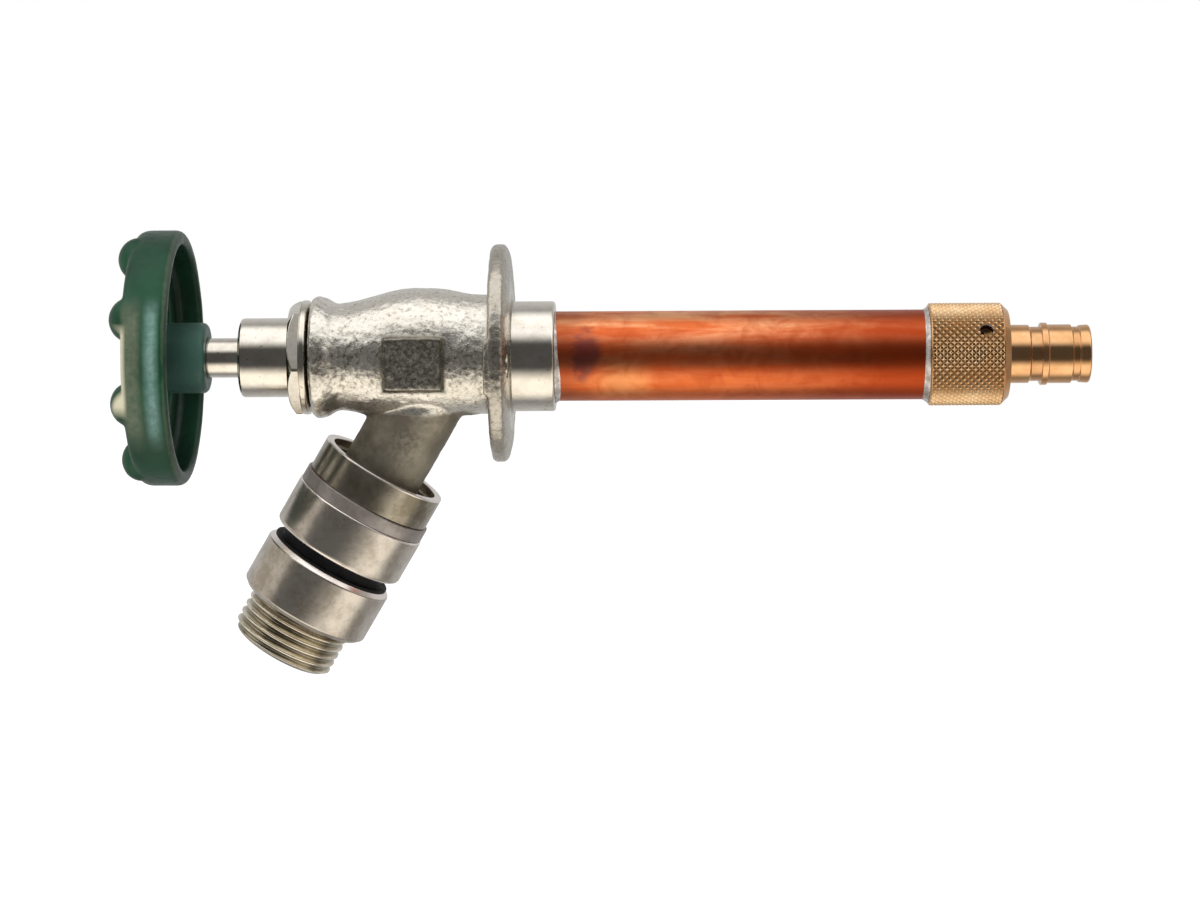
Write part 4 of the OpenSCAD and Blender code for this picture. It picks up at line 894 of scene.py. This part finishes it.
THREAD_R, THREAD_ROOT, THREAD_PITCH = 13.45, 12.25, 2.209
SLEEVE_D0, CLIP_D0, CLIP_D1, SLEEVE_STEP_D = 52.48, 53.74, 54.82, 57.98
SLEEVE_R, SLEEVE_BORE_R, CLIP_R, SLIDE_R, HOSE_BORE_R = 13.2, 12.1, 12.75, 10.25, 8.5
NIPPLE_R, NIPPLE_FACE_R, CORE_R = 16.85, 15.75, THREAD_ROOT - 0.05
nipple = lathe("hose_outlet", [
    (SLEEVE_BORE_R, SLEEVE_D0), (SLEEVE_R, SLEEVE_D0), (SLEEVE_R, CLIP_D0), (CLIP_R, CLIP_D0), (CLIP_R, CLIP_D1),
    (SLEEVE_R, CLIP_D1), (SLEEVE_R, RING_D0, 0.2), (NIPPLE_FACE_R, RING_D0, 0.4), (NIPPLE_R, RING_D0 + 1.1, 0.7),
    (NIPPLE_R, RING_D1 - 1.1, 0.7), (NIPPLE_FACE_R, RING_D1, 0.4), (CORE_R, RING_D1, 0.3),
    (CORE_R, NIPPLE_D1 - 0.3, 0.4), (11.4, NIPPLE_D1, 0.4), (HOSE_BORE_R, NIPPLE_D1, 0.6),
    (HOSE_BORE_R, SKIRT_D1 + 4.7), (SLIDE_R, SKIRT_D1 + 3.1), (SLIDE_R, SLEEVE_STEP_D),
    (SLEEVE_BORE_R, SLEEVE_STEP_D)], SPOUT, BREAKER_NICKEL, 0.12)

ROWS_PER_TURN, THREAD_SIDES = 14, 120
thread_start, thread_end = RING_D1 + 0.7, NIPPLE_D1 - 0.35
tree, sizes, sink = new_tree("hose_thread", {
    "Crest": THREAD_R * MM, "Root": THREAD_ROOT * MM, "Pitch": THREAD_PITCH * MM, "Start": thread_start * MM,
    "End": thread_end * MM, "Sides": THREAD_SIDES})
crest, root, pitch, start, end, sides = (sizes[key] for key in ("Crest", "Root", "Pitch", "Start", "End", "Sides"))
row_count = ROWS_PER_TURN * (math.ceil((thread_end - thread_start) / THREAD_PITCH) + 2)
height = add(tree, TIMES, pitch, row_count / ROWS_PER_TURN)
columns = add(tree, PLUS, sides, 1)
sheet = add(tree, "GeometryNodeMeshGrid", 2 * math.pi, height, columns, row_count + 1)
flat = add(tree, APART, add(tree, POSITION), out=None)
middle = add(tree, TIMES, add(tree, PLUS, start, end), 0.5)
climb = add(tree, TIMES, pitch, add(tree, OVER, flat["X"], 2 * math.pi))
station = add(tree, PLUS, add(tree, PLUS, flat["Y"], middle), climb)
station = add(tree, LOWEST, add(tree, HIGHEST, station, start), end)
half_pitch = add(tree, TIMES, pitch, 0.5)
wave = add(tree, OVER, add(tree, MATH, flat["Y"], half_pitch, operation="PINGPONG"), half_pitch)
tall = add(tree, RANGE, wave, 0.06, 0.94, **SMOOTH)
for face, fade in ((start, 0.0007), (end, -0.0009)):
    run_out = add(tree, RANGE, station, face, add(tree, PLUS, face, fade))
    tall = add(tree, TIMES, tall, run_out)
depth = add(tree, MINUS, crest, root)
reach = add(tree, TIMES_PLUS, tall, depth, root)
feed(tree, sink.inputs[0], rolled_ring(
    tree, sheet, reach, flat["X"], station, 2e-6, (THREAD_ROOT - THREAD_WALL) * MM, THREAD_NICKEL))
thread = run_tree("outlet_thread", tree, {"Sides": THREAD_SIDES})
thread.data.transform(in_metres(SPOUT))
thread.data.shade_smooth()
for made in (nipple, thread):
    finish_piece(made, "drain_sleeve", "nickel_plate", "hose_nipple")

# Springs
tree, sizes, sink = new_tree("coil_spring", {
    "Coil Radius": 0.0044, "Wire": 0.0008, "Start": 0.0, "End": 0.01, "Turns": 4.0, "Dead Turns": 0.8})
coil_r, wire, start, end, turns, dead = (sizes[i] for i in range(6))
helix = add(tree, "GeometryNodeCurveSpiral", 32, turns, coil_r, coil_r, 0.0)
factor = add(tree, "GeometryNodeSplineParameter", out="Factor")
share = add(tree, OVER, dead, turns)
rest = add(tree, MINUS, 1.0, share)
lead_in = add(tree, TIMES, add(tree, PLUS, wire, 0.0004), dead)
rise = add(tree, MINUS, add(tree, MINUS, end, start), wire)
middle_rise = add(tree, TIMES_PLUS, lead_in, -2, rise)
height = add(tree, TIMES_PLUS, wire, 0.5, start)
for low, high, lift in ((0.0, share, lead_in), (share, rest, middle_rise), (rest, 1.0, lead_in)):
    height = add(tree, PLUS, height, add(tree, RANGE, factor, low, high, 0.0, lift))
place = add(tree, APART, add(tree, POSITION), out=None)
raised = add(tree, TOGETHER, place["X"], place["Y"], height)
helix = add(tree, "GeometryNodeSetPosition", helix, Position=raised)
wire_section = add(tree, "GeometryNodeCurvePrimitiveCircle", Resolution=12, Radius=add(tree, TIMES, wire, 0.5))
coil = add(tree, "GeometryNodeCurveToMesh", helix, wire_section, Fill_Caps=True)
coil = add(tree, "GeometryNodeRealizeInstances", coil)
feed(tree, sink.inputs[0], add(tree, "GeometryNodeSetMaterial", coil, Material=SPRING_STEEL))


def spring(name, node, coil_radius, wire_d, d0, d1):
    """Coil of round wire between two stations of the spout."""
    made = run_tree(name, tree, {
        "Coil Radius": coil_radius * MM, "Wire": wire_d * MM, "Start": d0 * MM, "End": d1 * MM})
    made.data.transform(in_metres(SPOUT))
    made.data.shade_smooth()
    finish_piece(made, "fixed", "steel", node)
    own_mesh(made)


CHECK_D0, CHECK_D1, DRAIN_D0, DRAIN_D1 = 52.26, 60.48, 49.48, 57.88
spring("check_coil", "poppet_spring", 4.4, 0.8, CHECK_D0, CHECK_D1)
spring("drain_coil", "drain_spring", 11.15, 1.1, DRAIN_D0, DRAIN_D1)

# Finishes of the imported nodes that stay
KEPT = {
    "handle_screw": STEEL, "handle_washer": STEEL, "stem_rod": ROD_BRASS, "rod_pin": STEEL, "stem_o_rings": RUBBER,
    "plunger": ROD_BRASS, "plunger_clip": STEEL, "seat_washer": RUBBER, "washer_screw": ROD_BRASS,
    "spout_gasket": RUBBER, "lock_screw": STEEL, "check_poppet": ACETAL, "poppet_seal": RUBBER,
    "poppet_guide": ACETAL, "sleeve_o_ring": RUBBER, "retaining_clip": SPRING_STEEL}
for node_name, material in KEPT.items():
    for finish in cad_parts[node_name].material_slots:
        finish.material = material


# Floor, light tent, side cards and sun
def stage_piece(name, build, material, gloss_only):
    """Floor, tent or card, which isn't part of the object; with gloss_only it shows in reflections alone."""
    mesh = bpy.data.meshes.new(name)
    build.to_mesh(mesh)
    build.free()
    mesh.materials.append(material)
    made = bpy.data.objects.new(name, mesh)
    scene.collection.objects.link(made)
    made.visible_camera = made.visible_diffuse = made.visible_shadow = not gloss_only
    made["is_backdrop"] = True


def new_paper(name, colour, strength, share=None):
    """Paper that glows by itself; with share it also takes the light that falls on it."""
    material = bpy.data.materials.new(name)
    material.use_nodes = True
    tree = material.node_tree
    level = add(tree, TIMES, share(tree), strength) if share else strength
    shown = add(tree, "ShaderNodeEmission", colour, level)
    if share:
        shown = add(tree, "ShaderNodeAddShader", shown, add(tree, "ShaderNodeBsdfDiffuse", "#e8e8e8"))
    feed(tree, tree.nodes["Material Output"].inputs["Surface"], shown)
    return material


def make_tent():
    """Light tent round the barrel: soft boxes overhead and low down, a grey rear wall and a dim room ahead.

    The angle is 0 ahead, where the camera stands, and 90 overhead; each glow is even all along the barrel."""
    material = bpy.data.materials.new("tent_cloth")
    material.use_nodes = True
    tree = material.node_tree
    _, y, z = add(tree, APART, add(tree, "ShaderNodeTexCoord", out="Object"), out=None)
    ahead = add(tree, TIMES, y, -1)
    angle = add(tree, MATH, add(tree, MATH, z, ahead, operation="ARCTAN2"), operation="DEGREES")
    shown = None
    for colour, middle, half_width, soft_edge, brightness in TENT_GLOWS:
        turned = add(tree, MINUS, angle, middle)
        away = add(tree, ABSOLUTE, add(tree, MATH, turned, 180, -180, operation="WRAP"))
        level = add(tree, RANGE, away, half_width, half_width + soft_edge, brightness, 0, **SMOOTH)
        glow = add(tree, "ShaderNodeEmission", colour, level)
        shown = add(tree, "ShaderNodeAddShader", shown, glow) if shown else glow
    feed(tree, tree.nodes["Material Output"].inputs["Surface"], shown)
    return material


def seen_by_view_and_gloss(tree):
    """1 for rays from the camera, a mirror or glass, which see the plain white room."""
    path = add(tree, "ShaderNodeLightPath", out=None)
    gloss = add(tree, HIGHEST, path["Is Glossy Ray"], path["Is Transmission Ray"])
    return add(tree, HIGHEST, path["Is Camera Ray"], gloss)


def tent(name, material):
    """Open cylinder of cloth round the barrel's axis, 2 m long."""
    build = bmesh.new()
    pairs = [[build.verts.new((TENT_X + side, -TENT_R * math.cos(a), TENT_R * math.sin(a)))
              for side in (-1, 1)] for a in np.linspace(0, 2 * math.pi, TENT_SIDES + 1)[:-1]]
    for one, two in zip(pairs, pairs[1:] + pairs[:1]):
        build.faces.new((*one, *two[::-1]))
    stage_piece(name, build, material, True)


def flat_card(name, centre, u, v, material, gloss_only):
    """Flat card round its centre, with u and v from there to the middle of two of its sides."""
    centre, u, v = Vector(centre), Vector(u), Vector(v)
    build = bmesh.new()
    build.faces.new([build.verts.new(centre + i * u + j * v) for i, j in ((-1, -1), (1, -1), (1, 1), (-1, 1))])
    stage_piece(name, build, material, gloss_only)


world = bpy.data.worlds.new("white_room")
scene.world = world
world.use_nodes = True
tree = world.node_tree
backdrop = add(tree, "ShaderNodeBackground", "#ffffff", 1.0)
fill = add(tree, "ShaderNodeBackground", "#ffffff", 0.35)
feed(tree, tree.nodes["World Output"].inputs["Surface"],
     add(tree, "ShaderNodeMixShader", seen_by_view_and_gloss(tree), fill, backdrop))

# The tent's glows: colour, angle of the middle, half the even width, soft edge (all in degrees) and brightness
TENT_GLOWS = (
    ("#ffffff", 75, 15, 30, 1.2),
    ("#fff8ec", -60, 10, 35, 1.2),
    ("#ffffff", 180, 20, 100, 0.5),
    ("#ffffff", 0, 180, 1, 0.08))
FLOOR_Z, TENT_R, TENT_X, TENT_SIDES = -0.63, 0.6, 0.02, 96
flat_card("floor", (0, 1.5, FLOOR_Z), (4, 0, 0), (0, 3.5, 0),
          new_paper("pale_paper", "#ffffff", 0.6, seen_by_view_and_gloss), False)
tent("light_tent", make_tent())
for side, x, tone in (("left", -1.0, "#cfcac2"), ("right", 1.04, "#9b9690")):
    flat_card(side + "_card", (x, 0, 0), (0, TENT_R, 0), (0, 0, TENT_R),
              new_paper(side + "_paper", tone, 1.0), True)

key = bpy.data.objects.new("soft_key", bpy.data.lights.new("soft_key", "SUN"))
key.data.energy = 2.2
key.data.angle = math.radians(40)
key.visible_glossy = False
scene.collection.objects.link(key)
key.matrix_world = look_from(Vector((0, 0, 0)), distance=1.0, elevation=24, azimuth=-14, roll=0)

low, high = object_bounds()
